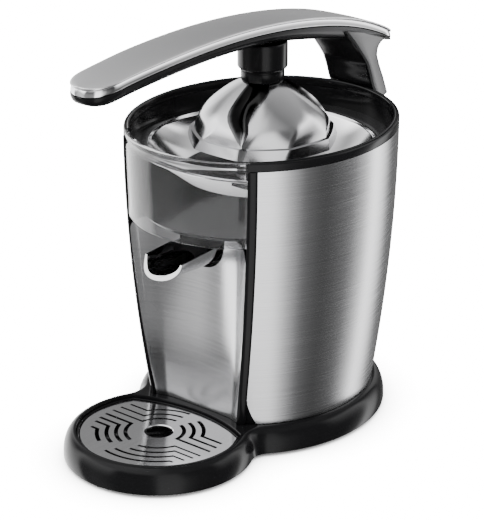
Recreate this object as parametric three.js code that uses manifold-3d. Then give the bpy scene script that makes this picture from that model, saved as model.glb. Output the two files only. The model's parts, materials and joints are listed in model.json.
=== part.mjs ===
// Citrus press juicer: a motor-driven reamer in an oval, tapered steel body, pressed by a hinged lever arm.
// Millimetres, +Z up, front towards -Y. The reamer turns about X = Y = 0 while the parts are laid out; at
// the end the whole object is moved so that its origin is the middle of its outer box, at table height.

import * as THREE from 'three';
import { mergeVertices } from 'three/addons/utils/BufferGeometryUtils.js';
import Module from 'manifold-3d';

const wasm = await Module();
wasm.setup();

// ---------------------------------------------------------------- driving dimensions

const GAP = 0.3;                 // clearance between pieces that touch
const RUNNING = 0.4;             // clearance around pieces that turn or slide
const ROUND = 12;                // points on a quarter of a large outline
const FINE = 24;                 // points round a small cylinder

const RIM_X = 80;                // half width of the body at its rim
const RIM_Y = 91;                // half depth of the body at its rim
const RIM_Z = 193;               // height of the rim
const TAPER = 0.2;               // how much the body narrows from rim to base
const SKIN = 1.2;                // steel shell
const WALL = 2.2;                // moulded walls
const RIM_BAND = 5.4;            // height of the rim ring
const RIM_WIDTH = 3.8;

const FOOT_STAND = 2.2;          // clearance under the plinth
const FOOT_RADIUS = 8;
const BASE_HEIGHT = 16;
const BASE_X = 75;               // half width of the plinth under the body
const BASE_Y = 84.5;
const BASE_SLOPE = 7;            // how far the plinth's side runs in towards its top
const BASE_WALL = 2.5;
const BASE_EDGE = 3;             // upright lower edge of the plinth
const PLATE = 2;                 // base plate
const NECK_FILLET = 12;          // inside corner between body lobe and tray lobe

const TRAY_Y = -98.5;            // centre of the tray lobe
const TRAY_RADIUS = 58.5;
const GRID_RADIUS = 48.6;
const GRID_THICK = 1.6;
const GRID_TOP = 15.6;
const SILL_RADIUS = 99;          // arc that cuts the grid's back edge
const SILL_DEPTH = 33;           // from the grid's centre back to that arc
const DISH_WALL = 1.5;
const DISH_LEDGE = 2.6;
const SLOT = 2.4;
const SLOT_PITCH = 6.4;
const HOLE_RADIUS = 8.6;

const OPENING_TOP = 52.6;        // half width of the front opening at the rim
const OPENING_NARROWING = 14.8;  // how much less it is at the base
const TRIM_WIDTH = 4.2;
const TRIM_DEPTH = 3;            // how far a trim runs in behind the panel's edge
const PANEL_THICK = 1;
const PANEL_SET_TOP = 2;         // how far the panel's edge sits behind the body's outline
const PANEL_SET_BASE = 3.8;
const PANEL_HOLLOW_TOP = 15.5;   // how far the panel's middle is set behind its edges
const PANEL_HOLLOW_BASE = 1.6;
const DECK_Z = 138;              // floor of the bowl space
const DECK = 2.8;

const SPOUT_RADIUS = 14.5;
const SPOUT_WALL = 1.4;
const SPOUT_Z = 129;             // axis of the spout's half round at its pivot
const SPOUT_PIVOT_Y = -52;
const SPOUT_REACH = 45;          // from the pivot to the mouth
const SPOUT_TAIL = 6;            // from the pivot back to the root
const SPOUT_FALL = 6.5;          // degrees
const SPOUT_LIP = 3.5;
const SPOUT_LIP_RISE = 1;
const TRUNNION = 2;

const SIEVE_RADIUS = 74.3;
const SIEVE_Z = 177;             // top of the sieve's flange
const SIEVE_SHEET = 0.9;
const SIEVE_FLANGE = 3;
const SIEVE_FLOOR_RADIUS = 50;
const SIEVE_FLOOR_Z = 158;
const SIEVE_SLOTS = 12;
const CARRIER = 2.6;

const REAMER_BASE = 180;         // height of the reamer's lower edge
const REAMER_TOP = 220.2;
const REAMER_CURVE = 0.0195;     // fall of the dome per square millimetre of radius
const REAMER_LOBES = 10;
const REAMER_FLUTE = 0.17;       // depth of the flutes as a share of the radius
const REAMER_SWIRL = 50;         // degrees from the base to the tip
const REAMER_WALL = 2.4;

const SHAFT = 4;                 // radius of the drive shaft
const TOWER = 11;                // radius of the housing's shaft tower
const TOWER_TOP = 165;
const COLLECTOR_TOWER_TOP = 168;

const MODULE = 1.5;              // gear module
const OUTPUT_TEETH = 40;
const COMPOUND_SMALL_TEETH = 10;
const COMPOUND_LARGE_TEETH = 32;
const PINION_TEETH = 8;
const COMPOUND_BEARING = 45;     // degrees round the shaft, where the compound gear stands
const MOTOR_RADIUS = 24;
const MOTOR_LENGTH = 58;
const MOTOR_WALL = 1.5;
const GEARBOX_FLOOR = 89.3;
const GEARBOX_WALL = 2.5;
const GEAR_LOW = 94;             // lower face of the first gear stage
const GEAR_THICK = 6;
const GEAR_HIGH = 104;           // lower face of the second gear stage
const OUTPUT_THICK = 8;
const GEARBOX_TOP = 116;

const PIN_Y = 104;               // lever hinge
const PIN_Z = 168;
const PIN_RADIUS = 3;
const KNUCKLE = 9;
const KNUCKLE_HALF = 12.6;
const EAR = 5.6;

const ARM_HALF = 16.3;           // half width of the lever
const ARM_FRONT = -160.5;
const ARM_BACK = 118;
const ARM_NOSE = 20.5;           // length of the rounded front end
const ARM_TAIL = 14;
const ARM_CREST_Y = -55;
const ARM_CREST_Z = 258.8;
const ARM_FALL_FRONT = 7;        // fall of the crest line 100 mm in front of its top
const ARM_FALL_BACK = 9.2;
const ARM_DROOP = 0.32;          // extra fall towards the leg
const COVER = 1.5;
const BAND = 4.2;
const BAND_INSET = 1.6;
const ARM_DEPTH = 14.4;          // crest line to the underside
const ARM_BELLY = 1.8;           // how much deeper the underside is near the leg
const ARM_UNDER_INSET = 4.5;
const ARM_WALL = 2.4;
const LEG_FRONT_HALF = 17.5;
const LEG_BACK_HALF = 13;
const LEG_FRONT_THICK = 3;
const CORE_HALF = 7;
const CORE = 3;

const SLEEVE_RADIUS = 15.4;
const SLEEVE_BOTTOM = 224.8;
const SLEEVE_NECK = 10.5;
const PRESS_RADIUS = 13.4;
const PRESS_BOTTOM = 217.3;
const PRESS_TOP = 231;
const PRESS_TRAVEL = 3;
const STEM = 4;

// ---------------------------------------------------------------- finishes

const STEEL = { color: 0xb4b6b8, roughness: 0.3, metalness: 1 };
const POLISHED = { color: 0xd8dadc, roughness: 0.1, metalness: 1 };
const SATIN = { color: 0xa9aaac, roughness: 0.4, metalness: 1 };
const GLOSS_BLACK = { color: 0x0b0b0c, roughness: 0.15, metalness: 0 };
const MATT_BLACK = { color: 0x1a1a1b, roughness: 0.6, metalness: 0 };
const DARK_GREY = { color: 0x55575a, roughness: 0.4, metalness: 0 };
const SMOKE = { color: 0x3b3c3f, roughness: 0.1, metalness: 0 };
const RUBBER = { color: 0x202020, roughness: 0.9, metalness: 0 };
const ZINC = { color: 0x9c9fa1, roughness: 0.45, metalness: 1 };
const BRONZE = { color: 0xa77b45, roughness: 0.5, metalness: 1 };
const ACETAL = { color: 0xe6e3d8, roughness: 0.5, metalness: 0 };
const MAGNET = { color: 0x3a3a3d, roughness: 0.8, metalness: 0 };

// ---------------------------------------------------------------- solids

function solid(geometry) {
  const bare = new THREE.BufferGeometry();
  bare.setAttribute('position', geometry.getAttribute('position').clone());
  if (geometry.index) {
    bare.setIndex(geometry.index.clone());
  }
  const merged = mergeVertices(bare, 1e-4);
  const corners = merged.index.array;
  const kept = [];
  for (let i = 0; i < corners.length; i += 3) {
    const [a, b, c] = [corners[i], corners[i + 1], corners[i + 2]];
    if (a !== b && b !== c && c !== a) {
      kept.push(a, b, c);
    }
  }
  return new wasm.Manifold(new wasm.Mesh({
    numProp: 3,
    vertProperties: Float32Array.from(merged.getAttribute('position').array),
    triVerts: Uint32Array.from(kept),
  }));
}

function geometryOf(body) {
  const mesh = body.getMesh();
  const geometry = new THREE.BufferGeometry();
  geometry.setAttribute('position', new THREE.BufferAttribute(mesh.vertProperties.slice(), 3));
  geometry.setIndex(new THREE.BufferAttribute(mesh.triVerts.slice(), 1));
  geometry.computeVertexNormals();
  return geometry;
}

const cut = (body, ...tools) => tools.reduce((left, tool) => left.subtract(tool), body);
const join = (body, ...others) => others.reduce((sum, other) => sum.add(other), body);

// An outline pulled up from one height to another. Each of its arcs gets twice the detail in points.
function prism(shape, bottom, top, steps = 1, detail = ROUND) {
  const settings = { depth: top - bottom, steps, curveSegments: detail, bevelEnabled: false };
  return new THREE.ExtrudeGeometry(shape, settings).translate(0, 0, bottom);
}

// A side outline, drawn as (Y, Z), pulled out evenly to both sides of X = 0.
function sidePrism(shape, half, steps = 1) {
  const settings = { depth: 2 * half, steps, curveSegments: ROUND, bevelEnabled: false };
  const turn = new THREE.Matrix4().set(0, 0, 1, -half, 1, 0, 0, 0, 0, 1, 0, 0, 0, 0, 0, 1);
  return new THREE.ExtrudeGeometry(shape, settings).applyMatrix4(turn);
}

function disc(radius, bottom, top, x = 0, y = 0, sides = FINE) {
  const geometry = new THREE.CylinderGeometry(radius, radius, top - bottom, sides);
  return solid(geometry.rotateX(Math.PI / 2).translate(x, y, (bottom + top) / 2));
}

// A round bar along X or Y.
function crossBar(radius, from, to, y, z, sides = FINE) {
  const geometry = new THREE.CylinderGeometry(radius, radius, to - from, sides);
  return solid(geometry.rotateZ(Math.PI / 2).translate((from + to) / 2, y, z));
}

function foreBar(radius, from, to, x, z, sides = FINE) {
  const geometry = new THREE.CylinderGeometry(radius, radius, to - from, sides);
  return solid(geometry.translate(x, (from + to) / 2, z));
}

function box(x0, x1, y0, y1, z0, z1) {
  const geometry = new THREE.BoxGeometry(x1 - x0, y1 - y0, z1 - z0);
  return solid(geometry.translate((x0 + x1) / 2, (y0 + y1) / 2, (z0 + z1) / 2));
}

// A turned piece: its profile is a closed list of [radius, height] corners, anticlockwise.
function turned(profile, sides = FINE) {
  const corners = [...profile, profile[0]].map(([radius, height]) => new THREE.Vector2(radius, height));
  return solid(new THREE.LatheGeometry(corners, sides).rotateX(Math.PI / 2));
}

const tube = (inner, outer, bottom, top, sides = FINE) =>
  turned([[inner, bottom], [outer, bottom], [outer, top], [inner, top]], sides);

// Moves every corner of a geometry by a rule.
function reshape(geometry, rule) {
  const points = geometry.getAttribute('position');
  for (let i = 0; i < points.count; i += 1) {
    points.setXYZ(i, ...rule(points.getX(i), points.getY(i), points.getZ(i)));
  }
  return geometry;
}

// A block cut into a grid, with each of its three directions running from 0 to 1 in the rule.
function warpedBlock(cutsX, cutsY, cutsZ, rule) {
  const block = new THREE.BoxGeometry(1, 1, 1, cutsX, cutsY, cutsZ).translate(0.5, 0.5, 0.5);
  return solid(reshape(block, rule));
}

// ---------------------------------------------------------------- the body's form

const mix = THREE.MathUtils.lerp;
const taperAt = (z) => 1 - TAPER * ((RIM_Z - z) / RIM_Z) ** 2;
const BASE_TOP = FOOT_STAND + BASE_HEIGHT;
const SHELL_BOTTOM = BASE_TOP + GAP;
const RING_BOTTOM = RIM_Z - RIM_BAND;
const SHELL_TOP = RING_BOTTOM - GAP;
const PANEL_TOP = DECK_Z - 0.8;

// Y of the body's front outline, at a distance inside it.
function frontOutline(x, z, inset = 0) {
  const across = x / ((RIM_X - inset) * taperAt(z));
  return -(RIM_Y - inset) * taperAt(z) * Math.sqrt(Math.max(0, 1 - across ** 2));
}

const narrowing = (z) => ((RIM_Z - z) / (RIM_Z - BASE_TOP)) ** 2;
const openingHalf = (z) => OPENING_TOP - OPENING_NARROWING * narrowing(z);
const trimInner = (z) => openingHalf(z) - TRIM_WIDTH;
const upPanel = (z) => THREE.MathUtils.clamp((z - BASE_TOP) / (PANEL_TOP - BASE_TOP), 0, 1);
const panelEdge = (z) => frontOutline(trimInner(z), z) + mix(PANEL_SET_BASE, PANEL_SET_TOP, upPanel(z));

function panelFace(x, z) {
  const hollow = mix(PANEL_HOLLOW_BASE, PANEL_HOLLOW_TOP, upPanel(z));
  return panelEdge(z) + hollow * (1 - (x / trimInner(z)) ** 2);
}

// A solid oval that follows the body's taper.
function ovalBody(inset, bottom, top, steps = 5) {
  const outline = new THREE.Shape().absellipse(0, 0, RIM_X - inset, RIM_Y - inset, 0, 2 * Math.PI);
  const rule = (x, y, z) => [x * taperAt(z), y * taperAt(z), z];
  return solid(reshape(prism(outline, bottom, top, steps, 2 * ROUND), rule));
}

// Everything in front of the middle, between the two trims, with room to spare at each side.
function frontOpening(spare, bottom, top, back = -25) {
  return warpedBlock(1, 1, 8, (u, v, w) => {
    const z = mix(bottom, top, w);
    return [mix(-1, 1, u) * (openingHalf(z) + spare), mix(-150, back, v), z];
  });
}

// Everything in front of the panel's back and the trims' backs.
function frontRecess(extra, bottom, top) {
  const behindPanel = warpedBlock(12, 1, 8, (u, v, w) => {
    const z = mix(bottom, top, w);
    const x = mix(-1, 1, u) * trimInner(z);
    return [x, mix(-150, panelFace(x, z) + PANEL_THICK + 2 * GAP + extra, v), z];
  });
  const behindTrims = warpedBlock(1, 1, 6, (u, v, w) => {
    const z = mix(bottom, top, w);
    const half = openingHalf(z) + GAP + extra;
    return [mix(-1, 1, u) * half, mix(-150, panelEdge(z) + TRIM_DEPTH + GAP + extra, v), z];
  });
  return join(behindPanel, behindTrims);
}

// ---------------------------------------------------------------- plinth and tray

// The plinth's figure-of-eight outline: an oval under the body, a circle under the glass, filleted.
function plinthOutline(inset) {
  const [a, b] = [BASE_X - inset, BASE_Y - inset];
  const radius = TRAY_RADIUS - inset;
  const fillet = NECK_FILLET + inset;
  const onOval = (angle) => new THREE.Vector2(a * Math.cos(angle), b * Math.sin(angle));
  const outwards = (angle) => new THREE.Vector2(b * Math.cos(angle), a * Math.sin(angle)).normalize();
  const filletCentre = (angle) => onOval(angle).addScaledVector(outwards(angle), fillet);
  const tray = new THREE.Vector2(0, TRAY_Y);
  let [low, high] = [-Math.PI / 2, 0];
  for (let i = 0; i < 40; i += 1) {
    const middle = (low + high) / 2;
    if (filletCentre(middle).distanceTo(tray) < radius + fillet) {
      low = middle;
    } else {
      high = middle;
    }
  }
  const centre = filletCentre(low);
  const toOval = onOval(low).sub(centre).angle();
  const toTray = tray.clone().sub(centre).angle();
  const fromTray = centre.clone().sub(tray).angle();
  const arc = (x, y, rx, ry, from, to, clockwise, steps) =>
    new THREE.EllipseCurve(x, y, rx, ry, from, to, clockwise).getPoints(steps);
  return new THREE.Shape([
    ...arc(0, 0, a, b, low, Math.PI - low, false, 3 * ROUND),
    ...arc(-centre.x, centre.y, fillet, fillet, Math.PI - toOval, Math.PI - toTray, true, 3).slice(1),
    ...arc(0, TRAY_Y, radius, radius, Math.PI - fromTray, fromTray, false, 2 * ROUND).slice(1),
    ...arc(centre.x, centre.y, fillet, fillet, toTray, toOval, true, 3).slice(1, -1),
  ]);
}

// The plinth's outer form, or its hollow: an upright edge and a rounded slope above it.
function plinthForm(inset, top, bottom = FOOT_STAND) {
  const rise = top - FOOT_STAND - BASE_EDGE;
  const settings = {
    depth: BASE_EDGE, steps: 1, bevelEnabled: true,
    bevelThickness: rise, bevelSize: BASE_SLOPE, bevelSegments: 3,
  };
  const form = new THREE.ExtrudeGeometry(plinthOutline(inset + BASE_SLOPE), settings);
  const below = box(-200, 200, -300, 200, -100, bottom);
  return cut(solid(form.translate(0, 0, FOOT_STAND)), below);
}

// The tray's round outline, cut off at the back by the sill's arc.
function trayOutline(radius, sill) {
  const sillY = TRAY_Y + SILL_DEPTH - SILL_RADIUS;
  const apart = TRAY_Y - sillY;
  const along = (radius ** 2 - sill ** 2 + apart ** 2) / (2 * apart);
  const half = Math.sqrt(radius ** 2 - along ** 2);
  const corner = new THREE.Vector2(half, TRAY_Y - along);
  const onDisc = Math.atan2(corner.y - TRAY_Y, corner.x);
  const onSill = Math.atan2(corner.y - sillY, corner.x);
  const shape = new THREE.Shape();
  shape.absarc(0, TRAY_Y, radius, Math.PI - onDisc, onDisc, false);
  shape.absarc(0, sillY, sill, onSill, Math.PI - onSill, false);
  return shape;
}

const PLATE_BOTTOM = FOOT_STAND + 0.8;
const PLATE_TOP = PLATE_BOTTOM + PLATE;
const DISH_RADIUS = GRID_RADIUS + RUNNING + DISH_WALL;
const DISH_SILL = SILL_RADIUS + RUNNING + DISH_WALL;
const DISH_BOTTOM = PLATE_TOP + GAP;
const DISH_TOP = GRID_TOP + 0.4;
const GRID_BOTTOM = GRID_TOP - GRID_THICK;

const FEET = [[0, -146], [-54, -12], [54, -12], [-36, 60], [36, 60]];
const BASE_SCREWS = [[-61, 8], [61, 8], [-22, 72], [22, 72]];
const BOSS = 4;
const SCREW = 1.5;
const SCREW_HEAD = 3;
const SCREW_HEAD_HEIGHT = 1.2;
const GLAND_RADIUS = 4;
const GLAND_BORE = 2.6;
const GLAND_Z = 10.3;

function basePlinth() {
  const hollow = plinthForm(BASE_WALL, BASE_TOP - BASE_WALL, FOOT_STAND - 1);
  const well = solid(prism(trayOutline(DISH_RADIUS + RUNNING, DISH_SILL + RUNNING), 0, BASE_TOP + 5));
  const underBody = new THREE.Shape().absellipse(0, 4, 50, 56, 0, 2 * Math.PI);
  const bosses = BASE_SCREWS.map(([x, y]) => disc(BOSS, PLATE_TOP + GAP, BASE_TOP - 1, x, y, 12));
  const pilots = BASE_SCREWS.map(([x, y]) => disc(SCREW + GAP, 0, BASE_TOP - 4, x, y, 10));
  const glandHole = foreBar(GLAND_RADIUS + GAP, 60, 100, 0, GLAND_Z, 16);
  const shell = join(cut(plinthForm(0, BASE_TOP), hollow), ...bosses);
  return cut(shell, well, solid(prism(underBody, 0, BASE_TOP + 5)), glandHole, ...pilots);
}

function basePlate() {
  const plate = solid(prism(plinthOutline(BASE_WALL + 2 * GAP), PLATE_BOTTOM, PLATE_TOP));
  const holes = BASE_SCREWS.map(([x, y]) => disc(SCREW + GAP, 0, PLATE_TOP + 1, x, y, 10));
  const vents = [-2, -1, 0, 1, 2].map((i) => box(i * 8 - 1.5, i * 8 + 1.5, 26, 56, 0, PLATE_TOP + 1));
  return cut(plate, ...holes, ...vents);
}

const cordGland = () => cut(
  join(
    foreBar(GLAND_RADIUS, BASE_Y - 13, BASE_Y + 3, 0, GLAND_Z, 16),
    foreBar(GLAND_RADIUS + 0.9, BASE_Y - 13, BASE_Y - 11, 0, GLAND_Z, 16),
  ),
  foreBar(GLAND_BORE, BASE_Y - 20, BASE_Y + 10, 0, GLAND_Z, 12),
);

function baseScrew() {
  const head = disc(SCREW_HEAD, PLATE_BOTTOM - GAP - SCREW_HEAD_HEIGHT, PLATE_BOTTOM - GAP, 0, 0, 12);
  return join(head, disc(SCREW, PLATE_BOTTOM - 1, BASE_TOP - 5, 0, 0, 8));
}

function dripDish() {
  const outer = solid(prism(trayOutline(DISH_RADIUS, DISH_SILL), DISH_BOTTOM, DISH_TOP));
  const seat = solid(prism(
    trayOutline(DISH_RADIUS - DISH_WALL, DISH_SILL - DISH_WALL), GRID_BOTTOM - GAP, DISH_TOP + 5,
  ));
  const inset = DISH_WALL + DISH_LEDGE;
  const pan = solid(prism(
    trayOutline(DISH_RADIUS - inset, DISH_SILL - inset), DISH_BOTTOM + DISH_WALL, DISH_TOP + 5,
  ));
  return cut(outer, seat, pan);
}

// A slot that follows an arc about the grid's hole and then, if asked, runs straight out along X.
function arcSlot(radius, from, to, straight = 0) {
  const [outer, inner] = [radius + SLOT / 2, radius - SLOT / 2];
  const slot = new THREE.Shape();
  slot.absarc(0, TRAY_Y, outer, from, to, false);
  if (straight) {
    const side = Math.sign(Math.sin(to));
    slot.lineTo(straight, TRAY_Y + side * outer);
    slot.lineTo(straight, TRAY_Y + side * inner);
  }
  slot.absarc(0, TRAY_Y, inner, to, from, true);
  slot.closePath();
  return solid(prism(slot, GRID_BOTTOM - 1, GRID_TOP + 1, 1, 4));
}

function dripGrid() {
  const slots = [];
  for (let ring = 1; ring <= 3; ring += 1) {
    const radius = HOLE_RADIUS + ring * SLOT_PITCH - 1;
    slots.push(arcSlot(radius, Math.PI * 0.02, Math.PI / 2, 5 * ring - 38));
    slots.push(arcSlot(radius, Math.PI * 1.02, Math.PI * 1.5, 38 - 5 * ring));
  }
  for (let ring = 4; ring <= 5; ring += 1) {
    const radius = HOLE_RADIUS + ring * SLOT_PITCH - 1;
    slots.push(arcSlot(radius, Math.PI * 1.04, Math.PI * 1.42));
    slots.push(arcSlot(radius, Math.PI * 1.7, Math.PI * 2.04));
  }
  const plate = solid(prism(trayOutline(GRID_RADIUS, SILL_RADIUS), GRID_BOTTOM, GRID_TOP));
  return cut(plate, disc(HOLE_RADIUS, 0, 40, 0, TRAY_Y), ...slots);
}

// ---------------------------------------------------------------- housing

const CHASSIS_INSET = SKIN + GAP;
const BOWL_INSET = CHASSIS_INSET + WALL;

function bodyShell() {
  const shell = cut(ovalBody(0, SHELL_BOTTOM, SHELL_TOP), ovalBody(SKIN, SHELL_BOTTOM - 2, SHELL_TOP + 2));
  const corner = warpedBlock(1, 1, 4, (u, v, w) => {
    const z = mix(SHELL_BOTTOM - 2, SHELL_BOTTOM + 18, w);
    const spread = 9 * (1 - Math.sqrt(Math.min(1, w * 1.1)));
    return [mix(-1, 1, u) * (openingHalf(z) + GAP + spread), mix(-150, -25, v), z];
  });
  return cut(shell, frontOpening(GAP, SHELL_BOTTOM - 2, SHELL_TOP + 2), corner);
}

const LUG_HALF = 13;

function topRing() {
  const ring = cut(ovalBody(0, RING_BOTTOM, RIM_Z, 1), ovalBody(RIM_WIDTH, RING_BOTTOM - 2, RIM_Z + 2, 1));
  return cut(ring, frontOpening(-TRIM_WIDTH, RING_BOTTOM - 2, RIM_Z + 2));
}

function edgeTrim(side) {
  return warpedBlock(2, 1, 8, (u, v, w) => {
    const z = mix(SHELL_BOTTOM, SHELL_TOP, w);
    const x = mix(trimInner(z), openingHalf(z), side > 0 ? u : 1 - u);
    return [side * x, mix(frontOutline(x, z) - 0.4, panelEdge(z) + TRIM_DEPTH, v), z];
  });
}

const SOCKET_BORE = SPOUT_RADIUS + 1.2;
const SOCKET_RADIUS = SOCKET_BORE + 1.6;
const spoutWay = (radius, from, to) => join(
  foreBar(radius, from, to, 0, SPOUT_Z, 32),
  box(-radius, radius, from, to, SPOUT_Z, DECK_Z + 4),
);

function frontPanel() {
  const panel = warpedBlock(12, 1, 6, (u, v, w) => {
    const z = mix(SHELL_BOTTOM, PANEL_TOP, w);
    const x = mix(-1, 1, u) * (trimInner(z) - GAP);
    return [x, panelFace(x, z) + v * PANEL_THICK, z];
  });
  return cut(panel, spoutWay(SOCKET_RADIUS + GAP, -100, -30));
}

const POSTS = [-20, 62, 160].map((angle) => THREE.MathUtils.degToRad(angle));
const GEARBOX_X = 9;
const GEARBOX_Y = 14;
const GEARBOX_RADIUS = 52;
const POST_CIRCLE = 46;
const POST = 4;
const postPlaces = POSTS.map((angle) => [
  GEARBOX_X + POST_CIRCLE * Math.cos(angle), GEARBOX_Y + POST_CIRCLE * Math.sin(angle),
]);
const BRACKET_SCREW = 2.2;
const BRACKET_SCREW_Z = [156, 174];

function chassis() {
  const outer = cut(ovalBody(CHASSIS_INSET, SHELL_BOTTOM, SHELL_TOP), frontRecess(0, 10, DECK_Z + 1));
  const room = cut(ovalBody(BOWL_INSET, 10, DECK_Z - DECK), frontRecess(WALL, 8, DECK_Z));
  const bowl = ovalBody(BOWL_INSET, DECK_Z, SHELL_TOP + 2, 3);
  const posts = postPlaces.map(([x, y]) => disc(POST, GEARBOX_TOP + 3 + 2 * GAP, DECK_Z - 1, x, y, 12));
  const pilots = postPlaces.map(([x, y]) => disc(SCREW + GAP, 100, DECK_Z - DECK - 1, x, y, 10));
  const bracketHoles = BRACKET_SCREW_Z.map((z) => foreBar(BRACKET_SCREW + GAP, 70, 100, 0, z, 10));
  const shell = cut(outer, room, bowl, frontOpening(GAP, DECK_Z, SHELL_TOP + 2));
  const body = join(shell, disc(TOWER, DECK_Z - 1, TOWER_TOP), ...posts);
  return cut(
    body,
    disc(TOWER - WALL, DECK_Z - 10, TOWER_TOP + 1),
    spoutWay(SOCKET_RADIUS + GAP, -100, SPOUT_PIVOT_Y + SPOUT_TAIL + 5),
    ...pilots,
    ...bracketHoles,
  );
}

// A cup behind the panel's notch. Its floor stops behind the pivot, so the spout can tip down.
function spoutSocket() {
  const back = SPOUT_PIVOT_Y + SPOUT_TAIL + 4.7;
  const front = SPOUT_PIVOT_Y - 3.4;
  const top = DECK_Z - DECK - GAP;
  const outside = cut(spoutWay(SOCKET_RADIUS, front, back), box(-50, 50, -200, 0, top, 200));
  const trunnions = crossBar(TRUNNION + GAP, -40, 40, SPOUT_PIVOT_Y, SPOUT_Z, 12);
  const tipping = box(-50, 50, -200, SPOUT_PIVOT_Y + 1.5, 0, SPOUT_Z - 5);
  return cut(outside, spoutWay(SOCKET_BORE, front - 5, back - 2), trunnions, tipping);
}

// ---------------------------------------------------------------- bowl, sieve and reamer

const COLLECTOR_BACK = BOWL_INSET + 0.5;
const COLLECTOR_WALL = 2.4;
const COLLECTOR_FLOOR = DECK_Z + 0.5;
const CARRIER_TOP = SIEVE_Z - SIEVE_SHEET - GAP;
const CARRIER_BOTTOM = CARRIER_TOP - CARRIER;

// The part of the collector that shows between the trims, flush with the body's outline.
function windowForm(inset, bottom, top) {
  return warpedBlock(10, 1, 4, (u, v, w) => {
    const z = mix(bottom, top, w);
    const x = mix(-1, 1, u) * (trimInner(z) - RUNNING - inset);
    return [x, mix(frontOutline(x, z, inset + 0.2), -45, v), z];
  });
}

function collector() {
  const lip = RIM_Z - 0.4;
  const outer = join(
    ovalBody(COLLECTOR_BACK, COLLECTOR_FLOOR, CARRIER_BOTTOM - GAP, 2),
    windowForm(0, COLLECTOR_FLOOR, lip),
  );
  const floor = COLLECTOR_FLOOR + COLLECTOR_WALL;
  const hollow = join(
    ovalBody(COLLECTOR_BACK + COLLECTOR_WALL, floor, RIM_Z + 5, 2),
    windowForm(COLLECTOR_WALL, floor, RIM_Z + 5),
  );
  const towerRadius = TOWER + RUNNING + 2;
  const tower = disc(towerRadius, COLLECTOR_FLOOR, COLLECTOR_TOWER_TOP);
  const outlet = disc(6, 0, floor + 1, 0, SPOUT_PIVOT_Y - 8, 16);
  const aboveCarrier = ovalBody(COLLECTOR_BACK + COLLECTOR_WALL, CARRIER_BOTTOM - GAP, RIM_Z + 5, 1);
  return cut(join(cut(outer, hollow), tower), disc(TOWER + RUNNING, 0, 200), outlet, aboveCarrier);
}

// The ring that carries the round sieve in the oval bowl.
function sieveCarrier() {
  const ring = join(
    ovalBody(COLLECTOR_BACK, CARRIER_BOTTOM, CARRIER_TOP, 1),
    windowForm(COLLECTOR_WALL + RUNNING, CARRIER_BOTTOM, CARRIER_TOP),
  );
  const inFront = cut(
    frontOpening(-TRIM_WIDTH + 2, CARRIER_BOTTOM - 2, CARRIER_TOP + 2, -60),
    windowForm(COLLECTOR_WALL + RUNNING, CARRIER_BOTTOM - 3, CARRIER_TOP + 3),
  );
  const hole = disc(SIEVE_RADIUS - SIEVE_FLANGE + 0.5, 100, 200, 0, 0, 4 * ROUND);
  return cut(ring, hole, inFront, frontOpening(1.5, CARRIER_BOTTOM - 2, CARRIER_TOP + 2, -65));
}

function sieve() {
  const lip = SIEVE_RADIUS - SIEVE_FLANGE;
  const under = SIEVE_Z - SIEVE_SHEET;
  const collar = TOWER + RUNNING + 2 + RUNNING;
  const sheet = turned([
    [collar, SIEVE_FLOOR_Z], [SIEVE_FLOOR_RADIUS, SIEVE_FLOOR_Z], [lip, under - 1.5], [lip, under],
    [SIEVE_RADIUS, under], [SIEVE_RADIUS, SIEVE_Z], [lip - SIEVE_SHEET, SIEVE_Z],
    [lip - SIEVE_SHEET, under - 1], [SIEVE_FLOOR_RADIUS - 0.5, SIEVE_FLOOR_Z + SIEVE_SHEET],
    [collar + SIEVE_SHEET, SIEVE_FLOOR_Z + SIEVE_SHEET], [collar + SIEVE_SHEET, SIEVE_FLOOR_Z + 6],
    [collar, SIEVE_FLOOR_Z + 6],
  ], 4 * ROUND);
  const slots = [];
  for (let i = 0; i < SIEVE_SLOTS; i += 1) {
    const slot = new THREE.BoxGeometry(26, 1.6, 6).translate(34, 0, SIEVE_FLOOR_Z);
    slots.push(solid(slot.rotateZ((i + 0.5) * 2 * Math.PI / SIEVE_SLOTS)));
  }
  return cut(sheet, ...slots);
}

const domeRadius = (z, top = REAMER_TOP) => Math.sqrt(Math.max(0, (top - z) / REAMER_CURVE));

// The reamer: a dome with swirled lobes, hollow underneath.
function reamer() {
  const levels = [0, 0.09, 0.2, 0.34, 0.48, 0.62, 0.75, 0.86, 0.95];
  const height = REAMER_TOP - REAMER_BASE;
  const outside = levels.map((level) => [domeRadius(REAMER_BASE + level * height), REAMER_BASE + level * height]);
  outside[0][0] += 2;
  const profile = [[0, REAMER_BASE], ...outside, [0, REAMER_TOP]];
  const corners = profile.map(([radius, z]) => new THREE.Vector2(radius, z));
  const dome = new THREE.LatheGeometry(corners, 6 * REAMER_LOBES).rotateX(Math.PI / 2);
  const swirled = reshape(dome, (x, y, z) => {
    const level = (z - REAMER_BASE) / height;
    const flute = (1 + Math.cos(Math.atan2(y, x) * REAMER_LOBES)) / 2;
    const depth = REAMER_FLUTE * Math.sin(Math.PI * Math.min(1, level * 0.9 + 0.1));
    const shrink = 1 - depth * flute ** 2;
    const turn = THREE.MathUtils.degToRad(REAMER_SWIRL) * level;
    return [
      (x * Math.cos(turn) - y * Math.sin(turn)) * shrink,
      (x * Math.sin(turn) + y * Math.cos(turn)) * shrink,
      z,
    ];
  });
  const innerTop = REAMER_TOP - 2 * REAMER_WALL;
  const inner = [0, 0.25, 0.5, 0.75].map((level) => {
    const z = mix(REAMER_BASE - 1, innerTop, level);
    return [domeRadius(z, innerTop) * 0.84, z];
  });
  return cut(solid(swirled), turned([[0, REAMER_BASE - 1], ...inner, [0, innerTop]], 30));
}

const SHAFT_BOTTOM = 97;
const SHAFT_TOP = 206;
const HUB_BOTTOM = 171.5;
const HUB_TOP = 205;
const HUB_RADIUS = 8.5;
const PRESS_DROP = 2;

const SPRING_SEAT = 133;
const COLLAR = 1.7;

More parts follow.
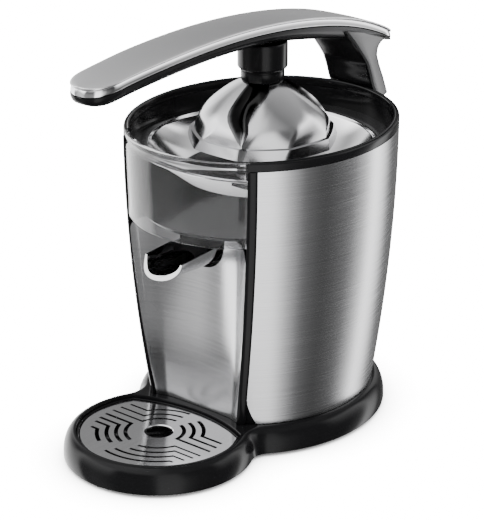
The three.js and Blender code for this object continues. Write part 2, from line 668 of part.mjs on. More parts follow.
const driveShaft = () => join(
  disc(SHAFT, SHAFT_BOTTOM, SHAFT_TOP, 0, 0, 16),
  disc(SHAFT + 3.2, SPRING_SEAT, SPRING_SEAT + COLLAR, 0, 0, 20),
);
const returnSpring = () => tube(SHAFT + 0.6, SHAFT + 2.8, HUB_GEAR_TOP + GAP, SPRING_SEAT - GAP, 20);

function reamerHub() {
  const hub = join(disc(HUB_RADIUS, HUB_BOTTOM, HUB_TOP), disc(24, 186, 188.5));
  return cut(hub, disc(SHAFT + GAP, 100, SHAFT_TOP + 10, 0, 0, 16));
}

// The spout: a half-round trough on two stub axles, thickened into a pouring lip at its mouth.
function spout() {
  const mouth = -SPOUT_REACH;
  const outer = join(
    foreBar(SPOUT_RADIUS, mouth, SPOUT_TAIL, 0, 0, 32),
    foreBar(SPOUT_RADIUS + SPOUT_LIP_RISE, mouth, mouth + SPOUT_LIP, 0, 0, 32),
  );
  const inner = foreBar(SPOUT_RADIUS - SPOUT_WALL, mouth - 5, SPOUT_TAIL - SPOUT_WALL, 0, 0, 32);
  const trough = cut(outer, inner, box(-30, 30, -80, 30, 0, 40));
  const end = SOCKET_RADIUS - GAP;
  const axle = cut(crossBar(TRUNNION, -end, end, 0, 0, 12), inner);
  return join(trough, axle);
}

// ---------------------------------------------------------------- drive

const pitchRadius = (teeth) => MODULE * teeth / 2;
const OUTPUT_TO_COMPOUND = pitchRadius(OUTPUT_TEETH) + pitchRadius(COMPOUND_SMALL_TEETH);
const COMPOUND_TO_MOTOR = pitchRadius(COMPOUND_LARGE_TEETH) + pitchRadius(PINION_TEETH);
const compoundAngle = THREE.MathUtils.degToRad(COMPOUND_BEARING);
const compoundX = OUTPUT_TO_COMPOUND * Math.cos(compoundAngle);
const compoundY = OUTPUT_TO_COMPOUND * Math.sin(compoundAngle);
const motorY = compoundY + Math.sqrt(COMPOUND_TO_MOTOR ** 2 - compoundX ** 2);
const AXLE = 2;

// A gear outline with a tooth centred on the given angle.
function gearOutline(teeth, phase) {
  const pitch = pitchRadius(teeth);
  const step = 2 * Math.PI / teeth;
  const [tip, root] = [pitch + 0.8 * MODULE, pitch - 1.15 * MODULE];
  const shape = new THREE.Shape();
  for (let i = 0; i < teeth; i += 1) {
    const corners = [[root, -0.3], [tip, -0.13], [tip, 0.13], [root, 0.3]];
    corners.forEach(([radius, share], k) => {
      const angle = phase + (i + share) * step;
      const point = [radius * Math.cos(angle), radius * Math.sin(angle)];
      if (i + k === 0) {
        shape.moveTo(...point);
      } else {
        shape.lineTo(...point);
      }
    });
  }
  shape.closePath();
  return shape;
}

const gear = (teeth, phase, bottom, top) => solid(prism(gearOutline(teeth, phase), bottom, top));
const HUB_GEAR_RADIUS = 8;
const HUB_GEAR_TOP = 124;
const COVER_TOP = GEARBOX_TOP + GAP + 3;

function outputGear() {
  const wheel = gear(OUTPUT_TEETH, compoundAngle, GEAR_HIGH, GEAR_HIGH + OUTPUT_THICK);
  const hub = disc(HUB_GEAR_RADIUS, GEAR_HIGH, HUB_GEAR_TOP);
  return cut(join(wheel, hub), disc(SHAFT + RUNNING, 0, 200, 0, 0, 16));
}

function compoundGear() {
  const toMotor = Math.atan2(motorY - compoundY, -compoundX);
  const toOutput = compoundAngle + Math.PI;
  const small = gear(
    COMPOUND_SMALL_TEETH, toOutput + Math.PI / COMPOUND_SMALL_TEETH, GEAR_LOW + 1, GEAR_HIGH + OUTPUT_THICK,
  );
  const large = gear(COMPOUND_LARGE_TEETH, toMotor, GEAR_LOW, GEAR_LOW + GEAR_THICK);
  return cut(join(large, small), disc(AXLE + RUNNING, 0, 200, 0, 0, 12));
}

function motorPinion() {
  const toCompound = Math.atan2(compoundY - motorY, compoundX);
  const wheel = gear(PINION_TEETH, toCompound + Math.PI / PINION_TEETH, GEAR_LOW, GEAR_LOW + GEAR_THICK);
  return cut(wheel, disc(AXLE + GAP, 0, 200, 0, 0, 12));
}

const MOTOR_TOP = GEARBOX_FLOOR - GAP;
const MOTOR_BOTTOM = MOTOR_TOP - MOTOR_LENGTH;
const END_CAP = 4;

function motorCan() {
  const can = disc(MOTOR_RADIUS, MOTOR_BOTTOM, MOTOR_TOP);
  const room = disc(MOTOR_RADIUS - MOTOR_WALL, MOTOR_BOTTOM - 5, MOTOR_TOP - MOTOR_WALL);
  return cut(can, room, disc(AXLE + RUNNING, 0, 200, 0, 0, 12));
}

const motorEndCap = () => cut(
  disc(MOTOR_RADIUS - MOTOR_WALL - GAP, MOTOR_BOTTOM, MOTOR_BOTTOM + END_CAP),
  disc(AXLE + RUNNING, 0, 200, 0, 0, 12),
);

// Rotor: shaft, commutator and wound core turned as one.
function motorRotor() {
  const low = MOTOR_BOTTOM - 3;
  const core = MOTOR_BOTTOM + END_CAP + 10;
  return turned([
    [0, low], [AXLE, low], [AXLE, core - 8], [5, core - 8], [5, core - 1], [14, core - 1],
    [14, core + 30], [AXLE, core + 30], [AXLE, GEAR_LOW + GEAR_THICK + 0.5],
    [0, GEAR_LOW + GEAR_THICK + 0.5],
  ], 20);
}

function motorMagnet(side) {
  const outer = MOTOR_RADIUS - MOTOR_WALL - GAP;
  const ring = tube(outer - 5.5, outer, MOTOR_BOTTOM + 14, MOTOR_TOP - 8, FINE);
  return side > 0 ? cut(ring, box(-30, 5, -30, 30, 0, 200)) : cut(ring, box(-5, 30, -30, 30, 0, 200));
}

function gearboxBase() {
  const [x, y] = [GEARBOX_X, GEARBOX_Y];
  const tray = cut(
    disc(GEARBOX_RADIUS, GEARBOX_FLOOR, GEARBOX_TOP, x, y, 40),
    disc(GEARBOX_RADIUS - GEARBOX_WALL, GEARBOX_FLOOR + 3, GEARBOX_TOP + 5, x, y, 40),
  );
  const holes = postPlaces.map(([px, py]) => disc(SCREW + GAP, 0, 200, px, py, 10));
  return cut(
    tray, disc(AXLE + 1, 0, 200, 0, motorY, 12), disc(AXLE + GAP, 0, 200, compoundX, compoundY, 12),
    disc(3, 0, 200, 0, 0, 12), ...holes,
  );
}

function gearboxCover() {
  const [x, y] = [GEARBOX_X, GEARBOX_Y];
  const lid = disc(GEARBOX_RADIUS, GEARBOX_TOP + GAP, COVER_TOP, x, y, 40);
  const boss = disc(HUB_GEAR_RADIUS + 5.5, GEARBOX_TOP + GAP, HUB_GEAR_TOP - 1);
  const holes = postPlaces.map(([px, py]) => disc(SCREW + GAP, 0, 200, px, py, 10));
  const bore = disc(HUB_GEAR_RADIUS + RUNNING + 2.5 + GAP, 0, 200);
  return cut(join(lid, boss), bore, disc(AXLE + GAP, 0, 200, compoundX, compoundY, 12), ...holes);
}

const gearboxScrew = () => join(
  disc(SCREW_HEAD, GEARBOX_FLOOR - 2.3, GEARBOX_FLOOR - GAP, 0, 0, 12),
  disc(SCREW, GEARBOX_FLOOR - 1, DECK_Z - DECK - 3, 0, 0, 8),
);

const SWITCH_TOP = GEARBOX_FLOOR - GAP;
const SWITCH_HEIGHT = 10;
const BUTTON = 1.8;

const microSwitch = () => cut(
  box(-10, 10, -3.2, 3.2, SWITCH_TOP - SWITCH_HEIGHT, SWITCH_TOP),
  disc(BUTTON + RUNNING, SWITCH_TOP - SWITCH_HEIGHT + 2, 200, 0, 0, 10),
);
const switchButton = () => disc(
  BUTTON, SWITCH_TOP - SWITCH_HEIGHT + 2 + PRESS_DROP + GAP, SHAFT_BOTTOM - GAP, 0, 0, 10,
);

// ---------------------------------------------------------------- lever arm

const BAND_TOP = COVER + GAP;
const BAND_BOTTOM = BAND_TOP + BAND;
const UNDER_TOP = BAND_BOTTOM + GAP;

function crest(y) {
  const along = (y - ARM_CREST_Y) / 100;
  if (along < 0) {
    return ARM_CREST_Z - ARM_FALL_FRONT * along ** 2;
  }
  return ARM_CREST_Z - ARM_FALL_BACK * along ** 2 - ARM_DROOP * along ** 6;
}

// Half width of the lever seen from above, a bar with rounded ends, at a distance inside its outline.
function armHalf(y, inset) {
  const nose = THREE.MathUtils.clamp((ARM_FRONT + ARM_NOSE - y) / (ARM_NOSE - inset), 0, 1);
  const tail = THREE.MathUtils.clamp((y - ARM_BACK + ARM_TAIL) / (ARM_TAIL - inset), 0, 1);
  const end = Math.max(nose, tail);
  const slimming = 0.9 * THREE.MathUtils.smoothstep(-y, 100, 140);
  return (ARM_HALF - inset - slimming) * Math.max(0.04, (1 - end ** 2.3) ** (1 / 2.3));
}

// How much deeper the underside hangs towards the leg.
const belly = (y) => ARM_BELLY * THREE.MathUtils.smoothstep(y, -20, 45);
const armStations = [
  0, 0.004, 0.014, 0.03, 0.05, 0.075, 0.12, 0.19, 0.26, 0.33, 0.4, 0.47, 0.54, 0.6, 0.65, 0.7, 0.74,
  0.78, 0.82, 0.855, 0.885, 0.91, 0.935, 0.955, 0.972, 0.985, 0.995, 1,
];

// A layer of the lever between two depths below the crest line.
function armLayer(inset, from, to, lowerInset = inset) {
  const deepest = to > BAND_BOTTOM + 1 ? 1 : 0;
  return warpedBlock(2, armStations.length - 1, lowerInset === inset ? 1 : 3, (u, v, w) => {
    const station = armStations[Math.round(v * (armStations.length - 1))];
    const inward = mix(inset, lowerInset, (1 - w) ** 2);
    const y = mix(ARM_FRONT + inward, ARM_BACK - inward, station);
    const z = crest(y) - mix(to + deepest * belly(y), from, w);
    return [mix(-1, 1, u) * armHalf(y, inward), y, z];
  });
}

const armCover = () => armLayer(0, 0, COVER);
const armBand = () => cut(
  armLayer(BAND_INSET, BAND_TOP, BAND_BOTTOM), armLayer(BAND_INSET + 2, BAND_TOP - 3, BAND_BOTTOM + 3),
);

// Front face of the leg, and its back, as (Y, Z) curves from the lever down to the hinge.
const legFront = new THREE.SplineCurve([
  new THREE.Vector2(67, 228), new THREE.Vector2(78.5, 213), new THREE.Vector2(86, 203),
  new THREE.Vector2(91.4, 194), new THREE.Vector2(94.2, 184),
]);
const legBack = new THREE.SplineCurve([
  new THREE.Vector2(106, 225), new THREE.Vector2(100.5, 217), new THREE.Vector2(102, 208),
  new THREE.Vector2(107, 196), new THREE.Vector2(112, 184),
]);
const LEG_STEPS = 6;
const shifted = (curve, dy) => curve.getPoints(LEG_STEPS).map((p) => new THREE.Vector2(p.x + dy, p.y));

// The strip of side outline between two curves.
const strip = (front, back) => new THREE.Shape([...front, ...back.reverse()]);

// Narrows a leg piece from its front face to its back.
function narrowed(geometry, frontHalf, backHalf) {
  return solid(reshape(geometry, (x, y, z) => {
    const front = legFrontAt(z);
    const share = THREE.MathUtils.clamp((y - front) / 20, 0, 1);
    return [Math.sign(x) * mix(frontHalf, backHalf, share), y, z];
  }));
}

function legFrontAt(z) {
  const points = legFront.getPoints(20);
  for (let i = 1; i < points.length; i += 1) {
    if (z >= points[i].y) {
      const share = (z - points[i].y) / (points[i - 1].y - points[i].y);
      return mix(points[i].x, points[i - 1].x, share);
    }
  }
  return points.at(-1).x;
}

const ringRoom = () => ovalBody(-0.8, RING_BOTTOM - 6, RIM_Z + 1, 1);
const armRoom = () => armLayer(-0.6, UNDER_TOP - 5, ARM_DEPTH + 2 * GAP, ARM_UNDER_INSET - 1);

function legFrontCover() {
  const side = sidePrism(strip(shifted(legFront, 0), shifted(legFront, LEG_FRONT_THICK)), 1);
  const cover = narrowed(side, LEG_FRONT_HALF, LEG_BACK_HALF);
  return cut(cover, ringRoom(), armRoom());
}

const legGap = LEG_FRONT_THICK + GAP;

function legShell() {
  const side = sidePrism(strip(shifted(legFront, legGap), shifted(legBack, 0)), 1);
  const inside = sidePrism(strip(shifted(legFront, legGap - 3), shifted(legBack, -ARM_WALL)), 1);
  const shell = cut(
    narrowed(side, LEG_FRONT_HALF, LEG_BACK_HALF),
    narrowed(inside, LEG_FRONT_HALF - ARM_WALL, LEG_BACK_HALF - ARM_WALL),
  );
  return cut(shell, ringRoom(), armRoom());
}

function armUnderside() {
  const outer = armLayer(0, UNDER_TOP, ARM_DEPTH, ARM_UNDER_INSET);
  const inner = armLayer(ARM_WALL, UNDER_TOP - 2, ARM_DEPTH - ARM_WALL, ARM_UNDER_INSET + ARM_WALL);
  const coreWay = box(-CORE_HALF - 1, CORE_HALF + 1, 74, 106, 180, 245);
  return cut(outer, inner, coreWay, disc(SLEEVE_NECK + GAP, 200, 300));
}

// The load-bearing bar: along the arm, down the leg and round the hinge pin.
function leverCore() {
  const depth = UNDER_TOP + 1.5;
  const line = [];
  const back = [];
  for (let i = 0; i <= 8; i += 1) {
    const y = mix(-22, 88, i / 8);
    line.push(new THREE.Vector2(y, crest(y) - depth));
    back.push(new THREE.Vector2(y, crest(y) - depth - CORE));
  }
  const leg = shifted(legFront, legGap + 5).slice(1);
  const legRear = shifted(legFront, legGap + 5 + CORE + 2).slice(1);
  const shape = new THREE.Shape([
    ...line, new THREE.Vector2(legRear[0].x + 3, legRear[0].y + 8), ...legRear,
    new THREE.Vector2(PIN_Y + 4, PIN_Z), new THREE.Vector2(PIN_Y - 4, PIN_Z),
    ...leg.reverse(), ...back.reverse(),
  ]);
  const bar = solid(sidePrism(shape, CORE_HALF));
  const knuckle = crossBar(KNUCKLE, -KNUCKLE_HALF, KNUCKLE_HALF, PIN_Y, PIN_Z);
  const bore = crossBar(PIN_RADIUS + RUNNING, -50, 50, PIN_Y, PIN_Z, 16);
  return cut(join(bar, knuckle), bore, disc(STEM + RUNNING + 0.2, 200, 300, 0, 0, 16));
}

const NECK_TOP = crest(SLEEVE_NECK) - UNDER_TOP - 1.5 - CORE - GAP - 0.4;

function plungerSleeve() {
  const top = crest(0) - ARM_DEPTH + 2;
  const bore = PRESS_RADIUS + RUNNING;
  const ceiling = PRESS_TOP + PRESS_TRAVEL + 2.5;
  const skirt = turned([
    [bore, SLEEVE_BOTTOM], [SLEEVE_RADIUS - 1, SLEEVE_BOTTOM], [SLEEVE_RADIUS, SLEEVE_BOTTOM + 1],
    [SLEEVE_RADIUS, top], [bore, top],
  ], 28);
  return join(
    cut(skirt, armRoom()),
    tube(STEM + RUNNING, SLEEVE_NECK, ceiling, NECK_TOP, 28),
    tube(STEM + RUNNING, SLEEVE_RADIUS - 0.4, ceiling, ceiling + 2, 28),
  );
}

const pressFoot = () => turned([
  [0, PRESS_BOTTOM + 5.7], [PRESS_RADIUS - 0.4, PRESS_BOTTOM], [PRESS_RADIUS, PRESS_BOTTOM + 0.4],
  [PRESS_RADIUS, PRESS_TOP], [STEM, PRESS_TOP], [STEM, NECK_TOP + 3.5], [0, NECK_TOP + 3.5],
], 28);

const pressSpring = () => tube(STEM + 1.4, STEM + 3.6, PRESS_TOP + GAP, PRESS_TOP + PRESS_TRAVEL + 2.5 - GAP, 20);

// ---------------------------------------------------------------- hinge

function hingeBracket() {
  const earX = KNUCKLE_HALF + RUNNING;
  const behind = PIN_Y - KNUCKLE - 0.6;
  const ears = [-1, 1].map((side) => {
    const [from, to] = side > 0 ? [earX, earX + EAR] : [-earX - EAR, -earX];
    const round = crossBar(KNUCKLE, from, to, PIN_Y, PIN_Z);
    return join(round, box(from, to, 70, PIN_Y, PIN_Z - KNUCKLE, PIN_Z + 4));
  });
  const plate = box(-earX - EAR, earX + EAR, 70, behind, 148, PIN_Z + 4);
  const holes = BRACKET_SCREW_Z.map((z) => foreBar(BRACKET_SCREW + GAP, 60, 200, 0, z, 10));
  const bore = crossBar(PIN_RADIUS + GAP, -50, 50, PIN_Y, PIN_Z, 16);
  return cut(join(plate, ...ears), ovalBody(-GAP, 140, 192, 3), bore, holes[0]);
}

const hingePin = () => crossBar(
  PIN_RADIUS, -KNUCKLE_HALF - RUNNING - EAR - 0.6, KNUCKLE_HALF + RUNNING + EAR + 0.6, 0, 0, 16,
);

// ---------------------------------------------------------------- assembly

const juicer = new THREE.Group();

function addPart(name, body, finish, parent = juicer) {
  const mesh = new THREE.Mesh(geometryOf(body), new THREE.MeshStandardMaterial(finish));
  mesh.name = name;
  parent.add(mesh);
  return mesh;
}

addPart('base_plinth', basePlinth(), GLOSS_BLACK);
addPart('base_plate', basePlate(), MATT_BLACK);
FEET.forEach(([x, y], i) => {
  addPart(`foot_${i + 1}`, disc(FOOT_RADIUS, 0, PLATE_BOTTOM - GAP, 0, 0, 20), RUBBER).position.set(x, y, 0);
});
BASE_SCREWS.forEach(([x, y], i) => {
  addPart(`base_screw_${i + 1}`, baseScrew(), ZINC).position.set(x, y, 0);
});
addPart('cord_gland', cordGland(), RUBBER);
addPart('drip_dish', dripDish(), GLOSS_BLACK);
addPart('drip_grid', dripGrid(), STEEL);

addPart('body_shell', bodyShell(), STEEL);
addPart('chassis', chassis(), GLOSS_BLACK);
addPart('top_ring', topRing(), GLOSS_BLACK);
addPart('edge_trim_left', edgeTrim(-1), GLOSS_BLACK);
addPart('edge_trim_right', edgeTrim(1), GLOSS_BLACK);
addPart('front_panel', frontPanel(), STEEL);
addPart('spout_socket', spoutSocket(), MATT_BLACK);
addPart('hinge_bracket', hingeBracket(), GLOSS_BLACK);
addPart('hinge_pin', hingePin(), ZINC).position.set(0, PIN_Y, PIN_Z);

const motor = new THREE.Group();
motor.position.set(0, motorY, 0);
juicer.add(motor);
addPart('motor_can', motorCan(), ZINC, motor);
addPart('motor_end_cap', motorEndCap(), MATT_BLACK, motor);
addPart('motor_rotor', motorRotor(), ZINC, motor);
addPart('motor_magnet_left', motorMagnet(-1), MAGNET, motor);
addPart('motor_magnet_right', motorMagnet(1), MAGNET, motor);
addPart('motor_pinion', motorPinion(), BRONZE, motor);

addPart('gearbox_base', gearboxBase(), ACETAL);
addPart('gearbox_cover', gearboxCover(), ACETAL);
postPlaces.forEach(([x, y], i) => {
  addPart(`gearbox_screw_${i + 1}`, gearboxScrew(), ZINC).position.set(x, y, 0);
});
addPart('compound_gear', compoundGear(), ACETAL).position.set(compoundX, compoundY, 0);
addPart('compound_axle', disc(AXLE, GEARBOX_FLOOR, COVER_TOP, 0, 0, 12), ZINC).position.set(compoundX, compoundY, 0);
addPart('output_gear', outputGear(), ACETAL);
addPart('output_bush', tube(HUB_GEAR_RADIUS + RUNNING, HUB_GEAR_RADIUS + RUNNING + 2.5, GEARBOX_TOP + 1, HUB_GEAR_TOP - 1), BRONZE);
addPart('drive_shaft', driveShaft(), ZINC);
addPart('return_spring', returnSpring(), ZINC);
addPart('shaft_bush', tube(SHAFT + RUNNING, TOWER - WALL - GAP, DECK_Z - 2, DECK_Z + 10), BRONZE);
addPart('shaft_seal', tube(SHAFT + RUNNING, TOWER - WALL - GAP, TOWER_TOP - 6, TOWER_TOP - 1), RUBBER);
addPart('micro_switch', microSwitch(), MATT_BLACK);
addPart('switch_button', switchButton(), ACETAL);

addPart('collector', collector(), SMOKE);
addPart('sieve_carrier', sieveCarrier(), SMOKE);
addPart('sieve', sieve(), POLISHED);
addPart('reamer_hub', reamerHub(), MATT_BLACK);
addPart('reamer', reamer(), POLISHED);
const spoutMesh = addPart('spout', spout(), POLISHED);
spoutMesh.position.set(0, SPOUT_PIVOT_Y, SPOUT_Z);
spoutMesh.rotation.x = THREE.MathUtils.degToRad(SPOUT_FALL);

addPart('arm_cover', armCover(), SATIN);
addPart('arm_band', armBand(), POLISHED);
addPart('arm_underside', armUnderside(), GLOSS_BLACK);
addPart('leg_front', legFrontCover(), GLOSS_BLACK);
addPart('leg_shell', legShell(), DARK_GREY);
addPart('lever_core', leverCore(), ZINC);
addPart('plunger_sleeve', plungerSleeve(), GLOSS_BLACK);
addPart('press_foot', pressFoot(), GLOSS_BLACK);
addPart('press_spring', pressSpring(), ZINC);

const extent = new THREE.Box3().setFromObject(juicer);
juicer.position.set(0, -(extent.min.y + extent.max.y) / 2, -extent.min.z);

export default juicer;
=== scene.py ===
"""Looks for a lever citrus press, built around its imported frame."""

import json
import math

import bmesh
import bpy
import numpy as np
from bpy.props import FloatVectorProperty, PointerProperty
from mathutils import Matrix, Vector
from mathutils.geometry import delaunay_2d_cdt


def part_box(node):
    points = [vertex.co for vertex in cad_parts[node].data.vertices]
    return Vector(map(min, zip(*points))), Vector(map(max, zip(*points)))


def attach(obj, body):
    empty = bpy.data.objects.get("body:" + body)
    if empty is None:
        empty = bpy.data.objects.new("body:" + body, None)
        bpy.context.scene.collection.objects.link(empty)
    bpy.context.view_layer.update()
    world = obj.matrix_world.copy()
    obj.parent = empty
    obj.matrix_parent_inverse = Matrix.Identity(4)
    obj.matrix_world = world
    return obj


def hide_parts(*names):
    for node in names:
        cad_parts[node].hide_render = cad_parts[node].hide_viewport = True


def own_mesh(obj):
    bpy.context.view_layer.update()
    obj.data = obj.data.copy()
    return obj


bl_info = {
    "name": "Citrus Press Juicer",
    "version": (1, 0, 0),
    "blender": (4, 5, 0),
    "location": "3D View > Sidebar > Juicer",
    "description": "Builds the finished pieces of a lever citrus press around its frame",
    "category": "Object",
}

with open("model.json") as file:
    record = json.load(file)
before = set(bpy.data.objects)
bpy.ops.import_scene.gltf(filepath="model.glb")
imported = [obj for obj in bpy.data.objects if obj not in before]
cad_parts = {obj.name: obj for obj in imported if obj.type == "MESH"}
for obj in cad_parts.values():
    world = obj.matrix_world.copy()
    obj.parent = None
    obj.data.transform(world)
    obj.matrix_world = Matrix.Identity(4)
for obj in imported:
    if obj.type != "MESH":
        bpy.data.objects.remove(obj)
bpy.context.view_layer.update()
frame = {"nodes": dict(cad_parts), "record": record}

MM = 0.001
SHAFT_Y = sum(corner.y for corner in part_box("drive_shaft")) / 2 / MM


# ------------------------------------------------------------------ sizes shared with the frame, in mm

RIM_X, RIM_Y, RIM_Z = 80.0, 91.0, 193.0
TAPER = 0.2
BASE_TOP = 18.2
SHELL_BOTTOM, SHELL_TOP = 18.5, 187.3
RING_BOTTOM = 187.6
PANEL_TOP = 137.2
SPOUT_Y, SPOUT_Z = -52.0, 129.0
TRAY_Y, TRAY_RADIUS = -98.5, 58.5
GRID_BOTTOM, GRID_TOP = 14.0, 15.6
SILL_RADIUS, SILL_DEPTH = 99.0, 33.0
SILL_EXTRA = 50.4  # radius of the sill's arc less the tray's, on loops inside the tray
ARM_FRONT, ARM_BACK, ARM_HALF = -160.5, 118.0, 16.3
REAMER_BASE, REAMER_TOP = 179.4, 220.2
DOME_CURVE = 0.0193  # fall of the reamer's dome below its top, over the radius squared


def taper(z):
    return 1 - TAPER * ((RIM_Z - np.asarray(z, float)) / RIM_Z) ** 2


def opening_half(z):
    return 52.6 - 14.8 * ((RIM_Z - z) / (RIM_Z - BASE_TOP)) ** 2


def trim_inner(z):
    return opening_half(z) - 4.2


def outline_y(x, z, inset=0.0):
    """Y of the body's front outline."""
    across = x / ((RIM_X - inset) * taper(z))
    return -(RIM_Y - inset) * taper(z) * math.sqrt(max(0.0, 1 - across ** 2))


def up_panel(z):
    return min(1.0, max(0.0, (z - BASE_TOP) / (PANEL_TOP - BASE_TOP)))


def panel_edge(z):
    return outline_y(trim_inner(z), z) + 3.8 - 1.8 * up_panel(z)


def panel_face(x, z):
    """Y of the hollow panel, whose sides turn outwards next to the strips."""
    across = abs(x) / trim_inner(z)
    turned = 1.9 * float(smooth(across, 0.7, 1.0))
    return panel_edge(z) + (1.6 + 13.9 * up_panel(z)) * (1 - across ** 2) - turned


def crest(y):
    """Height of the lever's top line."""
    along = (np.asarray(y, float) + 55) / 100
    return np.where(along < 0, 258.75 - 7 * along ** 2, 258.75 - 9.2 * along ** 2 - 0.32 * along ** 6)


def smooth(value, low, high):
    share = np.clip((np.asarray(value, float) - low) / (high - low), 0, 1)
    return share * share * (3 - 2 * share)


def arm_half(y, inset=0.0):
    nose = np.clip((ARM_FRONT + 20.5 - y) / (20.5 - inset), 0, 1)
    tail = np.clip((y - ARM_BACK + 14) / (14 - inset), 0, 1)
    end = np.maximum(nose, tail)
    slim = 0.9 * smooth(-y, 100, 140)
    return (ARM_HALF - inset - slim) * np.maximum(0.02, (1 - end ** 2.3) ** (1 / 2.3))


def eased(low, high, count, power):
    """Numbers from low to high, closer together at both ends the nearer power is to 1."""
    bunched = 0.5 - 0.5 * np.cos(np.linspace(0, math.pi, count))
    share = power * bunched + (1 - power) * np.linspace(0, 1, count)
    return low + (high - low) * share


# ------------------------------------------------------------------ meshes

def piece_from(name, points, faces, sharp=32.0):
    """A mesh object from points in mm about the drive shaft's axis, with closed, outward faces."""
    mesh = bpy.data.meshes.new(name)
    placed = (np.asarray(points, float) + [0, SHAFT_Y, 0]) * MM
    mesh.from_pydata(placed.tolist(), [], [tuple(int(i) for i in face) for face in faces])
    bm = bmesh.new()
    bm.from_mesh(mesh)
    bmesh.ops.remove_doubles(bm, verts=bm.verts, dist=2e-6)
    bmesh.ops.dissolve_degenerate(bm, edges=bm.edges, dist=1e-6)
    bmesh.ops.recalc_face_normals(bm, faces=bm.faces)
    bm.to_mesh(mesh)
    bm.free()
    mesh.shade_smooth()
    mesh.set_sharp_from_angle(angle=math.radians(sharp))
    piece = bpy.data.objects.new(name, mesh)
    bpy.context.scene.collection.objects.link(piece)
    return piece


def loft(name, stations, closed=False, sharp=32.0):
    """Joins a row of equal closed loops. A closed row runs back to its first loop."""
    stations = np.asarray(stations, float)
    rows, count = stations.shape[:2]
    faces = []
    for i in range(rows if closed else rows - 1):
        a, b = i * count, ((i + 1) % rows) * count
        for j in range(count):
            k = (j + 1) % count
            faces.append((a + j, a + k, b + k, b + j))
    if not closed:
        faces.append(tuple(range(count - 1, -1, -1)))
        faces.append(tuple((rows - 1) * count + j for j in range(count)))
    return piece_from(name, stations.reshape(-1, 3), faces, sharp)


def lathe(name, profile, sides=96, sharp=32.0):
    """Turns a closed list of (radius, height) corners about the drive shaft's axis."""
    stations = []
    for turn in full_turn(sides):
        stations.append([(r * math.cos(turn), r * math.sin(turn), z) for r, z in profile])
    return loft(name, stations, closed=True, sharp=sharp)


def rounded(corners, radii, steps=4):
    """A closed polygon of 2-D corners with an arc at each corner."""
    corners = [np.array(c, float) for c in corners]
    result = []
    for i, corner in enumerate(corners):
        before = corners[i - 1] - corner
        after = corners[(i + 1) % len(corners)] - corner
        reach = min(radii[i], 0.49 * np.linalg.norm(before), 0.49 * np.linalg.norm(after))
        if reach < 1e-6:
            result.append(tuple(corner))
            continue
        start = corner + before / np.linalg.norm(before) * reach
        end = corner + after / np.linalg.norm(after) * reach
        for t in np.linspace(0, 1, steps + 1):
            result.append(tuple((1 - t) ** 2 * start + 2 * t * (1 - t) * corner + t * t * end))
    return result


def inside_loop(x, y, loop):
    """Whether a point lies inside a closed loop."""
    xs, ys = np.array([p[0] for p in loop]), np.array([p[1] for p in loop])
    next_xs, next_ys = np.roll(xs, -1), np.roll(ys, -1)
    crossing = (ys > y) != (next_ys > y)
    with np.errstate(divide="ignore", invalid="ignore"):
        at = xs + (y - ys) / (next_ys - ys) * (next_xs - xs)
    return bool(np.count_nonzero(crossing & (x < at)) % 2)


def cap_faces(loops, starts):
    """Triangles that fill an outer loop around hole loops, as point numbers."""
    points, edges, numbers = [], [], []
    for loop, start in zip(loops, starts):
        first = len(points)
        points.extend(Vector((p[0], p[1])) for p in loop)
        edges.extend((first + i, first + (i + 1) % len(loop)) for i in range(len(loop)))
        numbers.extend(start + i for i in range(len(loop)))
    placed, _, triangles, origins, _, _ = delaunay_2d_cdt(points, edges, [], 1, 1e-6)
    faces = []
    for triangle in triangles:
        x = sum(placed[i].x for i in triangle) / 3
        y = sum(placed[i].y for i in triangle) / 3
        if any(inside_loop(x, y, loop) for loop in loops[1:]):
            continue
        faces.append(tuple(numbers[origins[i][0]] for i in triangle))
    return faces


def pierced(name, outer_levels, hole_levels, sharp=32.0):
    """A solid with a stack of outer loops and stacks of hole loops, all running bottom to top."""
    points, faces, bottoms, tops = [], [], [], []
    for stack in [outer_levels, *hole_levels]:
        count = len(stack[0])
        start = len(points)
        for loop in stack:
            points.extend(loop)
        for i in range(len(stack) - 1):
            a, b = start + i * count, start + (i + 1) * count
            for j in range(count):
                k = (j + 1) % count
                faces.append((a + j, a + k, b + k, b + j))
        bottoms.append((stack[0], start))
        tops.append((stack[-1], start + (len(stack) - 1) * count))
    for group in (bottoms, tops):
        faces.extend(cap_faces([loop for loop, _ in group], [start for _, start in group]))
    return piece_from(name, points, faces, sharp)


def full_turn(count):
    return np.linspace(0, 2 * math.pi, count, endpoint=False)


def body_point(inset, z, turn):
    """A point of the body's oval at a distance inside it."""
    s = float(taper(z))
    return (RIM_X - inset) * s * math.cos(turn), (RIM_Y - inset) * s * math.sin(turn), z


def ring(y, rx, ry, z, count):
    """A level oval loop about (0, y)."""
    return [(rx * math.cos(t), y + ry * math.sin(t), z) for t in full_turn(count)]


def arc_points(x, y, rx, ry, start, end, steps):
    return [(x + rx * math.cos(t), y + ry * math.sin(t)) for t in np.linspace(start, end, steps + 1)]


